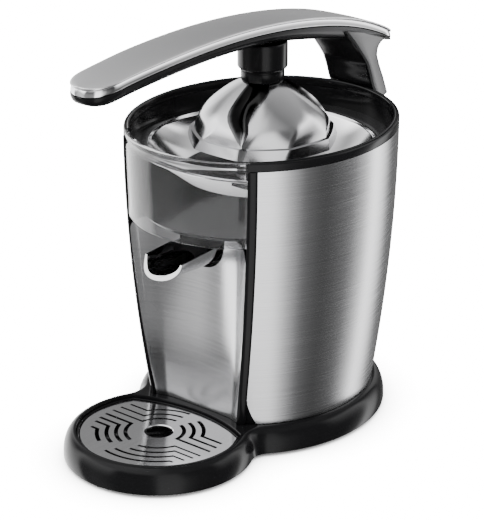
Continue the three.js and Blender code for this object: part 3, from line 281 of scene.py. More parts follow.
def plinth_loop(inset, z):
    """The plinth's figure-of-eight outline at a distance inside it."""
    a, b, radius, fillet = 75.0 - inset, 84.5 - inset, TRAY_RADIUS - inset, 12.0 + inset
    low, high = -math.pi / 2, 0.0
    for _ in range(50):
        t = (low + high) / 2
        normal = np.array([b * math.cos(t), a * math.sin(t)])
        normal /= np.linalg.norm(normal)
        centre = np.array([a * math.cos(t), b * math.sin(t)]) + normal * fillet
        if np.linalg.norm(centre - [0, TRAY_Y]) < radius + fillet:
            low = t
        else:
            high = t
    on_oval = np.array([a * math.cos(low), b * math.sin(low)]) - centre
    to_oval = math.atan2(on_oval[1], on_oval[0]) % (2 * math.pi)
    to_tray = math.atan2(TRAY_Y - centre[1], -centre[0]) % (2 * math.pi)
    from_tray = math.atan2(centre[1] - TRAY_Y, centre[0])
    points = arc_points(0, 0, a, b, low, math.pi - low, 110)
    points += arc_points(-centre[0], centre[1], fillet, fillet, math.pi - to_oval, math.pi - to_tray, 10)[1:]
    points += arc_points(0, TRAY_Y, radius, radius, math.pi - from_tray - 2 * math.pi, from_tray, 90)[1:]
    points += arc_points(centre[0], centre[1], fillet, fillet, to_tray, to_oval, 10)[1:-1]
    return [(x, y, z) for x, y in points]


def tray_loop(radius, sill, z, count=80):
    """A circle cut off at the back by the sill's arc."""
    sill_y = TRAY_Y + SILL_DEPTH - SILL_RADIUS
    apart = TRAY_Y - sill_y
    along = (radius ** 2 - sill ** 2 + apart ** 2) / (2 * apart)
    half = math.sqrt(radius ** 2 - along ** 2)
    on_disc = math.atan2(-along, half)
    on_sill = math.atan2(TRAY_Y - along - sill_y, half)
    points = arc_points(0, TRAY_Y, radius, radius, math.pi - on_disc - 2 * math.pi, on_disc, count)
    points += arc_points(0, sill_y, sill, sill, on_sill, math.pi - on_sill, count // 3)[1:-1]
    return [(x, y, z) for x, y in points]


# ------------------------------------------------------------------ body pieces

def make_body_shell():
    foot = np.linspace(SHELL_BOTTOM, SHELL_BOTTOM + 18, 18)
    heights = np.concatenate([foot, np.linspace(40, SHELL_TOP, 26)])
    skin = 1.2

    def start_angle(z, inset):
        share = min(1.0, (z - SHELL_BOTTOM + 2) / 20)
        spread = 9 * (1 - math.sqrt(min(1.0, share * 1.1)))
        return -math.acos((opening_half(z) + 0.3 + spread) / ((RIM_X - inset) * taper(z)))

    stations = []
    for k in np.linspace(0, 1, 150):
        loop = []
        for inset, levels in ((0.0, heights), (skin, heights[::-1])):
            for z in levels:
                start = start_angle(z, inset)
                loop.append(body_point(inset, z, start + k * (math.pi - 2 * start)))
        stations.append(loop)
    return loft("body_wrap", stations, sharp=40)


def swept_oval(name, profile, half_at, count=150, sharp=32.0):
    """Sweeps (inset, height) corners round the body from one side of the front opening to the other."""
    stations = []
    for k in np.linspace(0, 1, count):
        loop = []
        for inset, z in profile:
            start = -math.acos(half_at / ((RIM_X - inset) * float(taper(z))))
            loop.append(body_point(inset, z, start + k * (math.pi - 2 * start)))
        stations.append(loop)
    return loft(name, stations, sharp=sharp)


def make_rim():
    profile = rounded(
        [(0.05, 187.6), (0.0, 191.6), (0.5, 192.5), (1.25, 192.4), (1.5, 191.7), (1.95, 191.7),
         (2.2, 192.6), (2.7, 193.0), (3.4, 192.8), (3.8, 192.0), (3.8, 187.6)],
        [0.2, 0.5, 0.35, 0.3, 0.15, 0.15, 0.3, 0.3, 0.3, 0.4, 0.2], 3)
    return swept_oval("rim_ring", profile, trim_inner(RIM_Z - 2.7))


def make_bowl_wall():
    profile = [(4.0, 150.0), (4.0, 187.5), (4.15, 187.5), (4.15, 150.0)]
    return swept_oval("bowl_wall", profile, trim_inner(RIM_Z - 2.7) + 0.6)


def make_trim(side):
    stations = []
    for z in np.concatenate([[SHELL_BOTTOM], np.linspace(20, SHELL_TOP - 0.5, 60), [SHELL_TOP]]):
        inner, outer = trim_inner(z), opening_half(z)
        middle = (inner + outer) / 2
        back = panel_edge(z) + 3
        corners = [(inner, back), (inner, outline_y(inner, z) - 0.4), (middle, outline_y(middle, z) - 0.9),
                   (outer, outline_y(outer, z) - 0.35), (outer, back)]
        loop = rounded(corners, [0, 1.1, 1.2, 0.7, 0], 4)
        stations.append([(side * x, y, z) for x, y in loop])
    return loft("edge_strip_right" if side > 0 else "edge_strip_left", stations, sharp=40)


def make_panel():
    """The hollow front panel, with rounded top corners and a half-round notch for the spout."""
    notch = 17.9
    corner = 9.0
    thick = 1.0
    shares = np.linspace(-1, 1, 41).tolist()
    half_top = trim_inner(PANEL_TOP) - 0.3
    for side in (-1, 1):
        for d in (-0.02, 0, 0.02, 0.3, 0.8, 1.6, 3.0):
            shares.append(side * (notch + d) / half_top)
        for d in (0.0, 0.05, 0.2, 0.5, 1.0, 1.8, 3.0, 4.5, 6.5, 9.0):
            shares.append(side * (half_top - d) / half_top)
    for x in np.linspace(-notch, notch, 25):
        shares.append(x / half_top)
    shares = sorted(set(round(s, 5) for s in shares))
    stations = []
    for share in shares:
        x_top = share * half_top
        if abs(x_top) < notch:
            top = SPOUT_Z - math.sqrt(notch ** 2 - x_top ** 2)
        else:
            past = abs(x_top) - (half_top - corner)
            top = PANEL_TOP - (corner - math.sqrt(max(0.0, corner ** 2 - max(0.0, past) ** 2)))
        levels = SHELL_BOTTOM + (top - SHELL_BOTTOM) * np.linspace(0, 1, 26)
        loop = []
        for z in levels:
            x = share * (trim_inner(z) - 0.3)
            loop.append((x, panel_face(x, z), z))
        for z in levels[::-1]:
            x = share * (trim_inner(z) - 0.3)
            loop.append((x, panel_face(x, z) + thick, z))
        stations.append(loop)
    return loft("hollow_panel", stations, sharp=35)


def make_window():
    """The clear front wall of the collector, from trim to trim, with a lip at its top and foot."""
    wall = 2.4
    low, high = 138.5, 192.6
    heights = [low, low + 0.35, low + 0.9, 150, 162, 174, 184, 189.0, 189.4, high - 0.5, high]
    proud = [0.6, 0.2, 0.1, 0.5, 0.5, 0.5, 0.5, 0.5, 0.1, 0.1, 0.6]
    stations = []
    for share in eased(-1, 1, 61, 0.6):
        loop = []
        for z, inset in zip(heights, proud):
            x = share * (trim_inner(z) - 0.45)
            loop.append((x, outline_y(x, z, inset), z))
        for z in heights[::-1]:
            x = share * (trim_inner(z) - 0.45)
            loop.append((x, outline_y(x, z, inset=wall), z))
        stations.append(loop)
    return loft("window_wall", stations, sharp=50)


def make_collector_tub():
    """The collector behind the window: a tub whose wall drops away at the front, with a shaft tower."""
    tower = ((13.6, 139.2), (13.6, 167.9), (12.2, 167.9), (14.4, 167.2), (14.6, 142.0))
    stations = []
    for t in full_turn(120):
        front = float(smooth(-math.sin(t), 0.35, 0.8))
        rim = 172.6 - 29.0 * front
        outer = [(6.9, rim), (6.9, min(rim - 0.3, 146.0)), (8.5, 141.0)]
        inner = [(8.4, 142.0), (7.9, min(rim - 0.2, 147.0)), (7.9, rim)]
        loop = [body_point(inset, z, t) for inset, z in outer]
        loop += [(r * math.cos(t), r * math.sin(t), z) for r, z in tower]
        loop += [body_point(inset, z, t) for inset, z in inner]
        stations.append(loop)
    return loft("collector_tub", stations, closed=True, sharp=40)


def make_sieve():
    profile = [(15.4, 158.2), (49.6, 158.2), (51.2, 158.9), (70.6, 174.0), (71.3, 175.4), (71.6, 176.0),
               (73.9, 176.0), (74.25, 176.35), (74.0, 176.95), (71.4, 177.05), (70.7, 176.8), (70.2, 175.6),
               (69.9, 174.7), (50.8, 160.0), (49.2, 159.2), (16.4, 159.2), (16.2, 163.8), (15.4, 163.8)]
    return lathe("sieve_cone", profile, 160, 40)


# ------------------------------------------------------------------ reamer

def make_reamer():
    """A dome with three scooped flutes, each followed by swirled petals, on a flared many-sided skirt."""
    levels = [0, 0.15, 0.16, 0.2, 0.25, *np.linspace(0.3, 0.84, 10), 0.89, 0.93, 0.96, 0.985, 1.0]
    base, top = REAMER_BASE, REAMER_TOP
    start = math.radians(-68.5)
    keys = {
        "flute": ([0, .18, .37, .5, .65, .8, .92, 1], [0, .2, -2, -7, -9, 0, 5, 8]),
        "right": ([0, .18, .37, .5, .65, .8, .92, 1], [.6, .9, 6, 4.5, 7, 26, 36, 42]),
        "crease": ([0, .18, .37, .59, .8, 1], [1.4, 5, 12, 22, 40, 50]),
        "ridge": ([0, .27, .57, .78, .83, 1], [35.5, 44.5, 60, 68, 70, 73]),
        "second": ([0, .14, .36, .6, .8, 1], [77, 80, 95, 90, 88, 90]),
        "left": ([0, .19, .37, .5, .58, .88, 1], [119.4, 119.8, 110, 101, 97.5, 96.5, 99]),
    }
    deep = ([0, .17, .25, .37, .5, .65, .8, .92, 1], [0, 0, .05, .13, .21, .27, .31, .32, .32])
    samples = 12
    stations = []
    for h in levels:
        z = base + (top - base) * h
        if h < 0.155:
            radius = 47.2 - 2.2 * h / 0.15
        else:
            fuller = 1 + 0.09 * math.sin(math.pi * h) ** 2
            radius = math.sqrt(max(0.02, (top - z) / DOME_CURVE)) * fuller
        depth = float(np.interp(h, *deep))
        round_out = float(smooth(h, 0.12, 0.55))
        turns = [float(np.interp(h, *key)) for key in keys.values()]
        radii = [radius * (1 - depth)] + [radius] * 5
        loop = []
        for sector in range(3):
            for i in range(6):
                turn, r = turns[i], radii[i]
                next_turn = turns[(i + 1) % 6] + (120 if i == 5 else 0)
                next_r = radii[(i + 1) % 6]
                half = math.radians(next_turn - turn) / 2
                chord_rise = (1 - math.cos(half)) * radius
                if i in (0, 5):
                    rise = -0.2 * depth * radius
                else:
                    rise = chord_rise * (0.3 + 0.78 * round_out)
                a = start + math.radians(turn + 120 * sector)
                b = start + math.radians(next_turn + 120 * sector)
                p = np.array([r * math.cos(a), r * math.sin(a)])
                q = np.array([next_r * math.cos(b), next_r * math.sin(b)])
                for t in np.linspace(0, 1, samples, endpoint=False):
                    point = p + (q - p) * t
                    out = point / max(1e-6, np.linalg.norm(point))
                    point = point + out * rise * 4 * t * (1 - t)
                    loop.append((point[0], point[1], z))
        stations.append(loop)
    inner = []
    for h in (0.97, 0.8, 0.5, 0.2, 0.0):
        z = base + (top - 3 - base) * h
        r = math.sqrt(max(0.2, (top - 3 - z) / DOME_CURVE)) * 0.62
        turns = full_turn(len(stations[0])) + start
        inner.append([(r * math.cos(t), r * math.sin(t), z) for t in turns])
    piece = loft("swirl_reamer", inner + stations, sharp=30)
    # painted shade mask on the reamer: 1 in the flutes between the petals above the skirt, 0 elsewhere
    shade = piece.data.attributes.new("painted_scoop_shade", "FLOAT", "POINT")
    values = []
    for vertex in piece.data.vertices:
        x, y, z = vertex.co.x / MM, vertex.co.y / MM - SHAFT_Y, vertex.co.z / MM
        h = min(1.0, max(0.0, (z - base) / (top - base)))
        turn = (math.degrees(math.atan2(y, x) - start)) % 120
        low = float(np.interp(h, *keys["right"]))
        high = float(np.interp(h, *keys["left"]))
        inside = max(low - turn, turn - high)
        values.append(float(smooth(inside, 0.2, 2.2)) * float(smooth(h, 0.2, 0.36)))
    shade.data.foreach_set("value", values)
    return piece


# ------------------------------------------------------------------ spout

def make_spout():
    """A half-round trough that grows shallower towards an obliquely cut, thick lip."""
    fall = math.radians(3.2)
    radius, tail, corner_reach, lip_reach = 14.5, 6.0, 40.5, 50.0
    turns = np.linspace(0, math.pi, 41)
    placed = []
    for share in np.concatenate([np.linspace(0, 0.8, 14), np.linspace(0.83, 0.985, 8), [1.0]]):
        near = float(smooth(share, 0.8, 1.0))
        lift = 0.34 * float(smooth(share, 0.35, 1.0))
        loop = []
        for wall, order in ((0.0, turns), (1.0, turns[::-1])):
            for t in order:
                r = radius - wall * (1.3 + 3.6 * near * math.sin(t) ** 1.2)
                y = tail - share * (tail + corner_reach + (lip_reach - corner_reach) * math.sin(t) ** 1.3)
                if share == 1.0:
                    y += 0.35 * (1 if wall else 0.6)
                depth = r * math.sin(t)
                z = -depth * (1 - lift * math.sin(t))
                loop.append((-r * math.cos(t), SPOUT_Y + y * math.cos(fall) - z * math.sin(fall),
                             SPOUT_Z + y * math.sin(fall) + z * math.cos(fall)))
        placed.append(loop)
    return loft("pouring_spout", placed, sharp=45)


# ------------------------------------------------------------------ plinth and tray

def make_plinth():
    """The plinth's skin: an upright edge, a rounded shoulder and a flat top with the tray's well."""
    rise = BASE_TOP - 2.2 - 3
    levels = [(2.9, 15.4), (2.7, 2.5), (2.4, 2.2), (0.5, 2.2), (0.12, 2.4), (0, 2.9), (0, 5.2)]
    shoulder = np.linspace(0.08, math.pi / 2 - 0.02, 14)
    levels += [(7 * (1 - math.cos(t)), 5.2 + rise * math.sin(t)) for t in shoulder]
    levels += [(7.2, BASE_TOP)]
    outer = [plinth_loop(inset, z) for inset, z in levels]
    well = [tray_loop(50.7, 101.0, z) for z in (15.4, BASE_TOP - 0.5)]
    well.append(tray_loop(50.9, 101.3, BASE_TOP))
    under = [ring(4, 50, 56, z, 60) for z in (15.4, BASE_TOP)]
    return pierced("plinth_skin", outer, [well, under], 30)


def make_dish():
    levels = [(50.3, 5.3), (50.5, 5.6), (50.5, 15.5), (50.2, 16.0), (49.2, 16.0), (49.0, 15.7), (49.0, 13.7),
              (46.4, 13.6), (46.2, 13.3), (46.0, 7.6), (45.2, 6.8)]
    loops = [tray_loop(radius, radius + SILL_EXTRA, z) for radius, z in levels]
    return loft("drip_pan", loops, sharp=32)


def grid_slots():
    """Loops of the grid's slots: arcs about the finger hole that knee into straight runs along X."""
    groups = [
        # radii, width, knee angles, end angles, way of the straight run
        ((17.4, 23.6, 29.8), 1.9, (168, 155, 146), (94, 93, 92), -1),
        ((15.4, 21.4, 27.4), 2.5, (-3, 15, 25), (72, 72, 70), 1),
        ((22.5, 28.5, 34.5, 40.5), 1.9, (-23, -29, -34, -39), (-82, -86, -98, -101), 1),
        ((20.5, 26.3, 32.1, 38.0), 2.5, (188, 200, 207, 215), (254, 252, 248, 240), -1),
    ]
    slots = []
    for radii, wide, knees, ends, way in groups:
        for radius, knee, end in zip(radii, knees, ends):
            run_y = radius * math.sin(math.radians(knee))
            run_end = way * (math.sqrt(44.5 ** 2 - run_y ** 2) - 2.5)
            # the arc climbs to or falls from the knee, so its outer side meets the run's far or near side
            side = 0.8 if (end < knee) == (way < 0) else -0.8

            def edge(offset):
                """One side of the slot, at a distance outside the middle of its arc."""
                r = radius + offset
                line_y = run_y + offset * side
                start = math.degrees(math.asin(line_y / r))
                if way < 0:
                    start = 180 - start
                arc = [(r * math.cos(math.radians(t)), TRAY_Y + r * math.sin(math.radians(t)))
                       for t in np.linspace(end, start, 18)]
                return arc + [(run_end, TRAY_Y + line_y)]

            slots.append(edge(wide / 2) + edge(-wide / 2)[::-1])
    return slots


def make_grid():
    levels = [(48.3, GRID_BOTTOM), (48.55, 14.2), (48.6, 15.2), (48.2, GRID_TOP)]
    outer = [tray_loop(radius, radius + SILL_EXTRA, z) for radius, z in levels]
    holes = [[[(x, y, z) for x, y in loop] for z in (GRID_BOTTOM, GRID_TOP)] for loop in grid_slots()]
    finger = [ring(TRAY_Y, r, r, z, 48) for r, z in ((8.6, GRID_BOTTOM), (8.6, 15.1), (9.1, GRID_TOP))]
    return pierced("slotted_grid", outer, [finger, *holes], 30)


# ------------------------------------------------------------------ lever

def arm_rows(inset):
    return np.concatenate([
        ARM_FRONT + inset + 22 * (1 - np.cos(np.linspace(0, math.pi / 2, 16))),
        np.linspace(-134, 100, 60),
        ARM_BACK - inset - 16 * (1 - np.sin(np.linspace(0.06, math.pi / 2, 14)))])


def make_cover():
    crown = 0.5
    edge = [(0.99, 1.5), (1.0, 1.25), (1.0, 0.95), (0.985, 0.62)]
    stations = []
    for y in arm_rows(0):
        half = float(arm_half(y))
        top = float(crest(y))
        loop = [(half * c, y, top - down) for c, down in edge]
        loop += [(half * c, y, top - crown * c * c) for c in np.linspace(0.95, -0.95, 15)]
        loop += [(-half * c, y, top - down) for c, down in edge[::-1]]
        stations.append(loop)
    return loft("lever_cover", stations, sharp=50)


def make_band():
    rows = [(1.2, 0.0), (0.95, 0.25), (0.55, 1.2), (0.3, 2.4), (0.2, 3.4), (0.35, 4.0), (0.9, 4.3)]
    stations = []
    for y in arm_rows(0.5):
        loop = []
        for side, ordered in ((1, rows[::-1]), (-1, rows)):
            for inset, down in ordered:
                shift = max(0.0, inset - 0.5)
                near = y
                if y < ARM_FRONT + 24:
                    near = ARM_FRONT + 24 + (y - ARM_FRONT - 24) * (23.5 - shift) / 23.5
                if y > ARM_BACK - 18:
                    near = ARM_BACK - 18 + (y - ARM_BACK + 18) * (17.5 - shift) / 17.5
                half = float(arm_half(near, inset))
                loop.append((side * half, near, float(crest(near)) - 1.8 - down))
        stations.append(loop)
    return loft("chrome_band", stations, sharp=50)


def make_underside():
    stations = []
    for y in arm_rows(0):
        half = float(arm_half(y))
        top = float(crest(y)) - 6.3
        belly = 1.8 * float(smooth(y, -20, 45))
        depth = 14.4 - 6.3 + belly
        tip = max(0.0, min(1.0, (-145 - y) / 15.6))
        depth *= 0.12 + 0.88 * math.sqrt(max(0.0, 1 - tip ** 2))
        depth *= 1 - 0.93 * float(smooth(y, 72, 112))
        loop = [(half * 0.97, y, top)]
        for t in np.linspace(0, math.pi, 29):
            c, s = math.cos(t), math.sin(t)
            x = half * math.copysign(abs(c) ** 0.62, c)
            z = top - 0.4 - (depth - 0.4) * abs(s) ** 0.9
            loop.append((x, y, z))
        loop.append((-half * 0.97, y, top))
        stations.append(loop)
    return loft("lever_belly", stations, sharp=50)


LEG_FRONT = np.array([
    (58.5, 236.0), (61.9, 233.0), (68.0, 226.6), (72.5, 221.2), (77.0, 215.8), (81.0, 210.6), (84.4, 203.0),
    (87.4, 194.3), (93.2, 184.0)])
LEG_BACK = np.array([
    (104.0, 224.5), (110.2, 220.2), (105.6, 219.2), (102.4, 217.2), (100.7, 214.5), (100.3, 211.0),
    (102.8, 204.5), (107.5, 195.0), (112.0, 184.0)])


def leg_section(share):
    """(y, z) of the leg's front and back at a share of the way down."""
    where = share * (len(LEG_FRONT) - 1)
    index = np.arange(len(LEG_FRONT))
    front = [np.interp(where, index, LEG_FRONT[:, i]) for i in (0, 1)]
    back = [np.interp(where, index, LEG_BACK[:, i]) for i in (0, 1)]
    return np.array(front), np.array(back)


def ring_clear(y, x, z):
    """Keeps a leg point clear of the rim."""
    if z > RIM_Z + 0.5 or z < RING_BOTTOM - 6:
        return y
    edge = (RIM_Y + 0.8) * math.sqrt(max(0.0, 1 - (x / (RIM_X + 0.8)) ** 2))
    return max(y, edge)


def make_leg_front():
    flat, bow = 17.0, 0.9
    edge = [(17.5, 1.2), (17.45, 2.8), (16.9, 3.0)]
    section = [(x, bow * (x / flat) ** 2) for x in np.linspace(-flat, flat, 23)]
    section += edge + [(-x, back) for x, back in edge[::-1]]
    stations = []
    for share in np.linspace(0, 1, 34):
        (front_y, front_z), _ = leg_section(share)
        stations.append([(x, ring_clear(front_y + back, x, front_z), front_z) for x, back in section])
    return loft("leg_face", stations, sharp=40)


def make_leg_shell():
    widths = [(0.0, 17.35), (0.03, 17.5), (0.3, 16.7), (0.6, 15.3), (0.85, 13.9), (0.95, 12.9), (0.99, 11.0)]
    stations = []
    for share in np.linspace(0, 1, 40):
        front, back = leg_section(share)
        start = front + np.array([3.2, 0])
        side = [(half, *(start + (back - start) * along)) for along, half in widths]
        across = [(x, *back) for x in np.linspace(9, -9, 9)]
        loop = side + across + [(-x, y, z) for x, y, z in side[::-1]]
        loop = [(x, ring_clear(y, x, z), z) for x, y, z in loop]
        stations.append(loop)
    return loft("leg_back", stations, sharp=50)


def make_sleeve():
    corners = [(13.9, 224.8), (14.6, 224.8), (15.4, 225.8), (15.4, 240.4), (15.0, 241.5), (13.9, 241.5)]
    profile = rounded(corners, [0.2, 0.4, 0.5, 0.4, 0.3, 0.2], 3)
    return lathe("plunger_collar", profile, 96)


def make_press_foot():
    profile = [(0.0, 223.0), (3.0, 222.6), (9.0, 219.6), (12.4, 217.5), (12.9, 217.3), (13.3, 217.6),
               (13.4, 218.1), (13.4, 223.2), (13.1, 223.5), (13.1, 224.2), (13.4, 224.6), (13.4, 230.6),
               (13.0, 231.0), (0.0, 231.0)]
    return lathe("plunger_cup", profile, 96)


def make_spring(node, name, turns, wire):
    """A coil in the room of the frame's spring, and the heights of its ends in mm."""
    lowest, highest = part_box(node)
    low, high = lowest.z / MM, highest.z / MM
    middle = (highest.x - lowest.x) / 2 / MM - wire
    stations = []
    for share in np.linspace(0, 1, turns * 36 + 1):
        turn = 2 * math.pi * turns * share
        z = low + wire + (high - low - 2 * wire) * share
        loop = []
        for t in full_turn(12):
            r = middle + wire * math.cos(t)
            loop.append((r * math.cos(turn), r * math.sin(turn), z + wire * math.sin(t)))
        stations.append(loop)
    return loft(name, stations, sharp=50), low, high


# ------------------------------------------------------------------ finishes

def new_material(name, base, metallic=0.0, roughness=0.5, **extra):
    material = bpy.data.materials.new(name)
    material.use_nodes = True
    shader = material.node_tree.nodes["Principled BSDF"]
    shader.inputs["Base Color"].default_value = (*base, 1)
    shader.inputs["Metallic"].default_value = metallic
    shader.inputs["Roughness"].default_value = roughness
    for key, value in extra.items():
        shader.inputs[key.replace("_", " ")].default_value = value
    return material, material.node_tree, shader


def group_tree(name, inputs, outputs):
    tree = bpy.data.node_groups.new(name, "ShaderNodeTree")
    for label, kind, default in inputs:
        tree.interface.new_socket(label, in_out="INPUT", socket_type=kind).default_value = default
    for label, kind in outputs:
        tree.interface.new_socket(label, in_out="OUTPUT", socket_type=kind)
    return tree, tree.nodes.new("NodeGroupInput"), tree.nodes.new("NodeGroupOutput")


def math_node(tree, operation, a, b=None, c=None):
    node = tree.nodes.new("ShaderNodeMath")
    node.operation = operation
    for socket, value in zip(node.inputs, (a, b, c)):
        if value is None:
            continue
        if isinstance(value, (int, float)):
            socket.default_value = value
        else:
            tree.links.new(value, socket)
    return node.outputs[0]


def mix_colour(tree, factor, a, b):
    node = tree.nodes.new("ShaderNodeMix")
    node.data_type = "RGBA"
    sockets = {s.identifier: s for s in node.inputs}
    for key, value in (("Factor_Float", factor), ("A_Color", a), ("B_Color", b)):
        if isinstance(value, (int, float)):
            sockets[key].default_value = value
        elif isinstance(value, (tuple, list)):
            sockets[key].default_value = (*value, 1) if len(value) == 3 else value
        else:
            tree.links.new(value, sockets[key])
    return {s.identifier: s for s in node.outputs}["Result_Color"]


def object_place(tree):
    return tree.nodes.new("ShaderNodeTexCoord").outputs["Object"]


def noise_texture(tree, place, detail, scale=None, roughness=0.5):
    """A noise node at a place socket. Without a scale, its Scale input is left to be linked."""
    noise = tree.nodes.new("ShaderNodeTexNoise")
    noise.inputs["Detail"].default_value = detail
    noise.inputs["Roughness"].default_value = roughness
    if scale:
        noise.inputs["Scale"].default_value = scale
    tree.links.new(place, noise.inputs["Vector"])
    return noise


def map_range(tree, value, low, high, to_low=0.0, to_high=1.0, eased_ends=False):
    node = tree.nodes.new("ShaderNodeMapRange")
    if eased_ends:
        node.interpolation_type = "SMOOTHSTEP"
    tree.links.new(value, node.inputs["Value"])
    for label, number in (("From Min", low), ("From Max", high), ("To Min", to_low), ("To Max", to_high)):
        node.inputs[label].default_value = number
    return node.outputs[0]


def axes_of(tree, vector):
    """The X, Y and Z sockets of a vector socket."""
    split = tree.nodes.new("ShaderNodeSeparateXYZ")
    tree.links.new(vector, split.inputs[0])
    return split.outputs


def surface_normal(tree):
    return axes_of(tree, tree.nodes.new("ShaderNodeNewGeometry").outputs["Normal"])


def shader_of(material):
    return material.node_tree, material.node_tree.nodes["Principled BSDF"]


def brushing_group():
    """Fine parallel scratches along the surface, for brushed metals."""
    tree, inside, outside = group_tree(
        "Brushing",
        [("Stretch", "NodeSocketVector", (1, 1, 1)), ("Strength", "NodeSocketFloat", 1.0),
         ("Colour", "NodeSocketColor", (0.6, 0.6, 0.6, 1)), ("Roughness", "NodeSocketFloat", 0.3)],
        [("Colour", "NodeSocketColor"), ("Roughness", "NodeSocketFloat"), ("Height", "NodeSocketFloat")])
    place = object_place(tree)
    stretched = tree.nodes.new("ShaderNodeMapping")
    tree.links.new(place, stretched.inputs["Vector"])
    tree.links.new(inside.outputs["Stretch"], stretched.inputs["Scale"])
    fine = noise_texture(tree, stretched.outputs[0], 4.0, 1.0, 0.7)
    broad = noise_texture(tree, place, 2.0, 14.0)
    swing = math_node(tree, "SUBTRACT", fine.outputs[0], 0.5)
    scaled = math_node(tree, "MULTIPLY", swing, inside.outputs["Strength"])
    drift = math_node(tree, "MULTIPLY", math_node(tree, "SUBTRACT", broad.outputs[0], 0.5), 0.05)
    shade = math_node(tree, "ADD", math_node(tree, "MULTIPLY", scaled, 0.3), drift)
    light = tree.nodes.new("ShaderNodeHueSaturation")
    tree.links.new(inside.outputs["Colour"], light.inputs["Color"])
    tree.links.new(math_node(tree, "ADD", 1.0, shade), light.inputs["Value"])
    tree.links.new(light.outputs[0], outside.inputs["Colour"])
    rough = math_node(tree, "ADD", inside.outputs["Roughness"], math_node(tree, "MULTIPLY", scaled, 0.12))
    tree.links.new(math_node(tree, "MAXIMUM", rough, 0.03), outside.inputs["Roughness"])
    tree.links.new(scaled, outside.inputs["Height"])
    return tree


def handling_group():
    """Faint smears, dust and a mould's fine grain, for plastics and polished metal."""
    tree, inside, outside = group_tree(
        "Handling marks",
        [("Colour", "NodeSocketColor", (0.02, 0.02, 0.02, 1)), ("Roughness", "NodeSocketFloat", 0.2),
         ("Smear", "NodeSocketFloat", 0.1), ("Grain", "NodeSocketFloat", 900.0),
         ("Dust", "NodeSocketFloat", 0.0)],
        [("Colour", "NodeSocketColor"), ("Roughness", "NodeSocketFloat"), ("Height", "NodeSocketFloat")])
    place = object_place(tree)
    smear = noise_texture(tree, place, 5.0, 22.0)
    grain = noise_texture(tree, place, 1.0)
    tree.links.new(inside.outputs["Grain"], grain.inputs["Scale"])
    swing = math_node(tree, "SUBTRACT", smear.outputs[0], 0.5)
    band = math_node(tree, "MULTIPLY", swing, inside.outputs["Smear"])
    rough = math_node(tree, "ADD", inside.outputs["Roughness"], band)
    tree.links.new(math_node(tree, "MAXIMUM", rough, 0.02), outside.inputs["Roughness"])
    peaks = math_node(tree, "GREATER_THAN", grain.outputs[0], 0.72)
    specks = math_node(tree, "MULTIPLY", peaks, inside.outputs["Dust"])
    colour = mix_colour(tree, specks, inside.outputs["Colour"], (0.55, 0.54, 0.52))
    tree.links.new(colour, outside.inputs["Colour"])
    tree.links.new(grain.outputs[0], outside.inputs["Height"])
    return tree


def place_group(tree, group, values):
    node = tree.nodes.new("ShaderNodeGroup")
    node.node_tree = group
    for key, value in values.items():
        node.inputs[key].default_value = value
    return node


def bump_into(tree, shader, height, strength, distance):
    bump = tree.nodes.new("ShaderNodeBump")
    bump.inputs["Strength"].default_value = strength
    bump.inputs["Distance"].default_value = distance
    tree.links.new(height, bump.inputs["Height"])
    tree.links.new(bump.outputs[0], shader.inputs["Normal"])


def brushed(name, group, colour, roughness, stretch, strength=1.0, anisotropic=0.0, bump=0.1, axis=None):
    material, tree, shader = new_material(name, colour, 1.0, roughness, Anisotropic=anisotropic,
                                          Anisotropic_Rotation=0.25 if axis else 0.0)
    node = place_group(tree, group, {"Stretch": stretch, "Strength": strength, "Colour": (*colour, 1),
                                     "Roughness": roughness})
    tree.links.new(node.outputs["Colour"], shader.inputs["Base Color"])
    tree.links.new(node.outputs["Roughness"], shader.inputs["Roughness"])
    bump_into(tree, shader, node.outputs["Height"], bump, 0.0002)
    if axis:
        tangent = tree.nodes.new("ShaderNodeTangent")
        tangent.direction_type = "RADIAL"
        tangent.axis = axis
        tree.links.new(tangent.outputs[0], shader.inputs["Tangent"])
    return material


def moulded(name, group, colour, roughness, metallic=0.0, smear=0.08, grain=900.0, dust=0.0, bump=0.0,
            **extra):
    material, tree, shader = new_material(name, colour, metallic, roughness, **extra)
    node = place_group(tree, group, {"Colour": (*colour, 1), "Roughness": roughness, "Smear": smear,
                                     "Grain": grain, "Dust": dust})
    tree.links.new(node.outputs["Colour"], shader.inputs["Base Color"])
    tree.links.new(node.outputs["Roughness"], shader.inputs["Roughness"])
    if bump:
        bump_into(tree, shader, node.outputs["Height"], bump, 0.0001)
    return material


def belly_painted_reflection_finish(group, black, grey):
    """Black under the lever, with a painted grey reflection up its sides towards the leg."""
    material = moulded("Lever underside painted reflection", group, black, 0.2, 0.0, 0.05, Specular_IOR_Level=0.12)
    tree, shader = shader_of(material)
    # painted reflection: grey is mixed into the black where the surface faces sideways, more towards the back
    back = map_range(tree, axes_of(tree, object_place(tree))["Y"], 0.01, 0.09)
    side = map_range(tree, math_node(tree, "ABSOLUTE", surface_normal(tree)["X"]), 0.55, 0.85)
    share = math_node(tree, "MULTIPLY", back, side)
    tree.links.new(mix_colour(tree, share, black, grey), shader.inputs["Base Color"])
    return material


def panel_painted_shade_finish(*values):
    """Brushed steel with painted shade that darkens it towards the tray it stands over."""
    material = brushed(*values)
    tree, shader = shader_of(material)
    # painted shade: the steel's colour is scaled down to 0.42 at 40 mm height, rising to full at 75 mm
    height = map_range(tree, axes_of(tree, object_place(tree))["Z"], 0.04, 0.075, 0.42, eased_ends=True)
    colour = shader.inputs["Base Color"].links[0].from_socket
    tree.links.new(mix_colour(tree, height, (0, 0, 0), colour), shader.inputs["Base Color"])
    return material


def reamer_painted_shade_finish(group, colour):
    """Polished steel with painted shade that darkens the scoops between the petals."""
    material = moulded("Reamer steel painted shade", group, colour, 0.17, 1.0, 0.05)
    tree, shader = shader_of(material)
    # painted shade: the steel is mixed towards near black by the flute mask
    painted_scoop_shade = tree.nodes.new("ShaderNodeAttribute")
    painted_scoop_shade.attribute_name = "painted_scoop_shade"
    shaded = mix_colour(tree, painted_scoop_shade.outputs["Fac"], colour, (0.02, 0.02, 0.02))
    tree.links.new(shaded, shader.inputs["Base Color"])
    return material


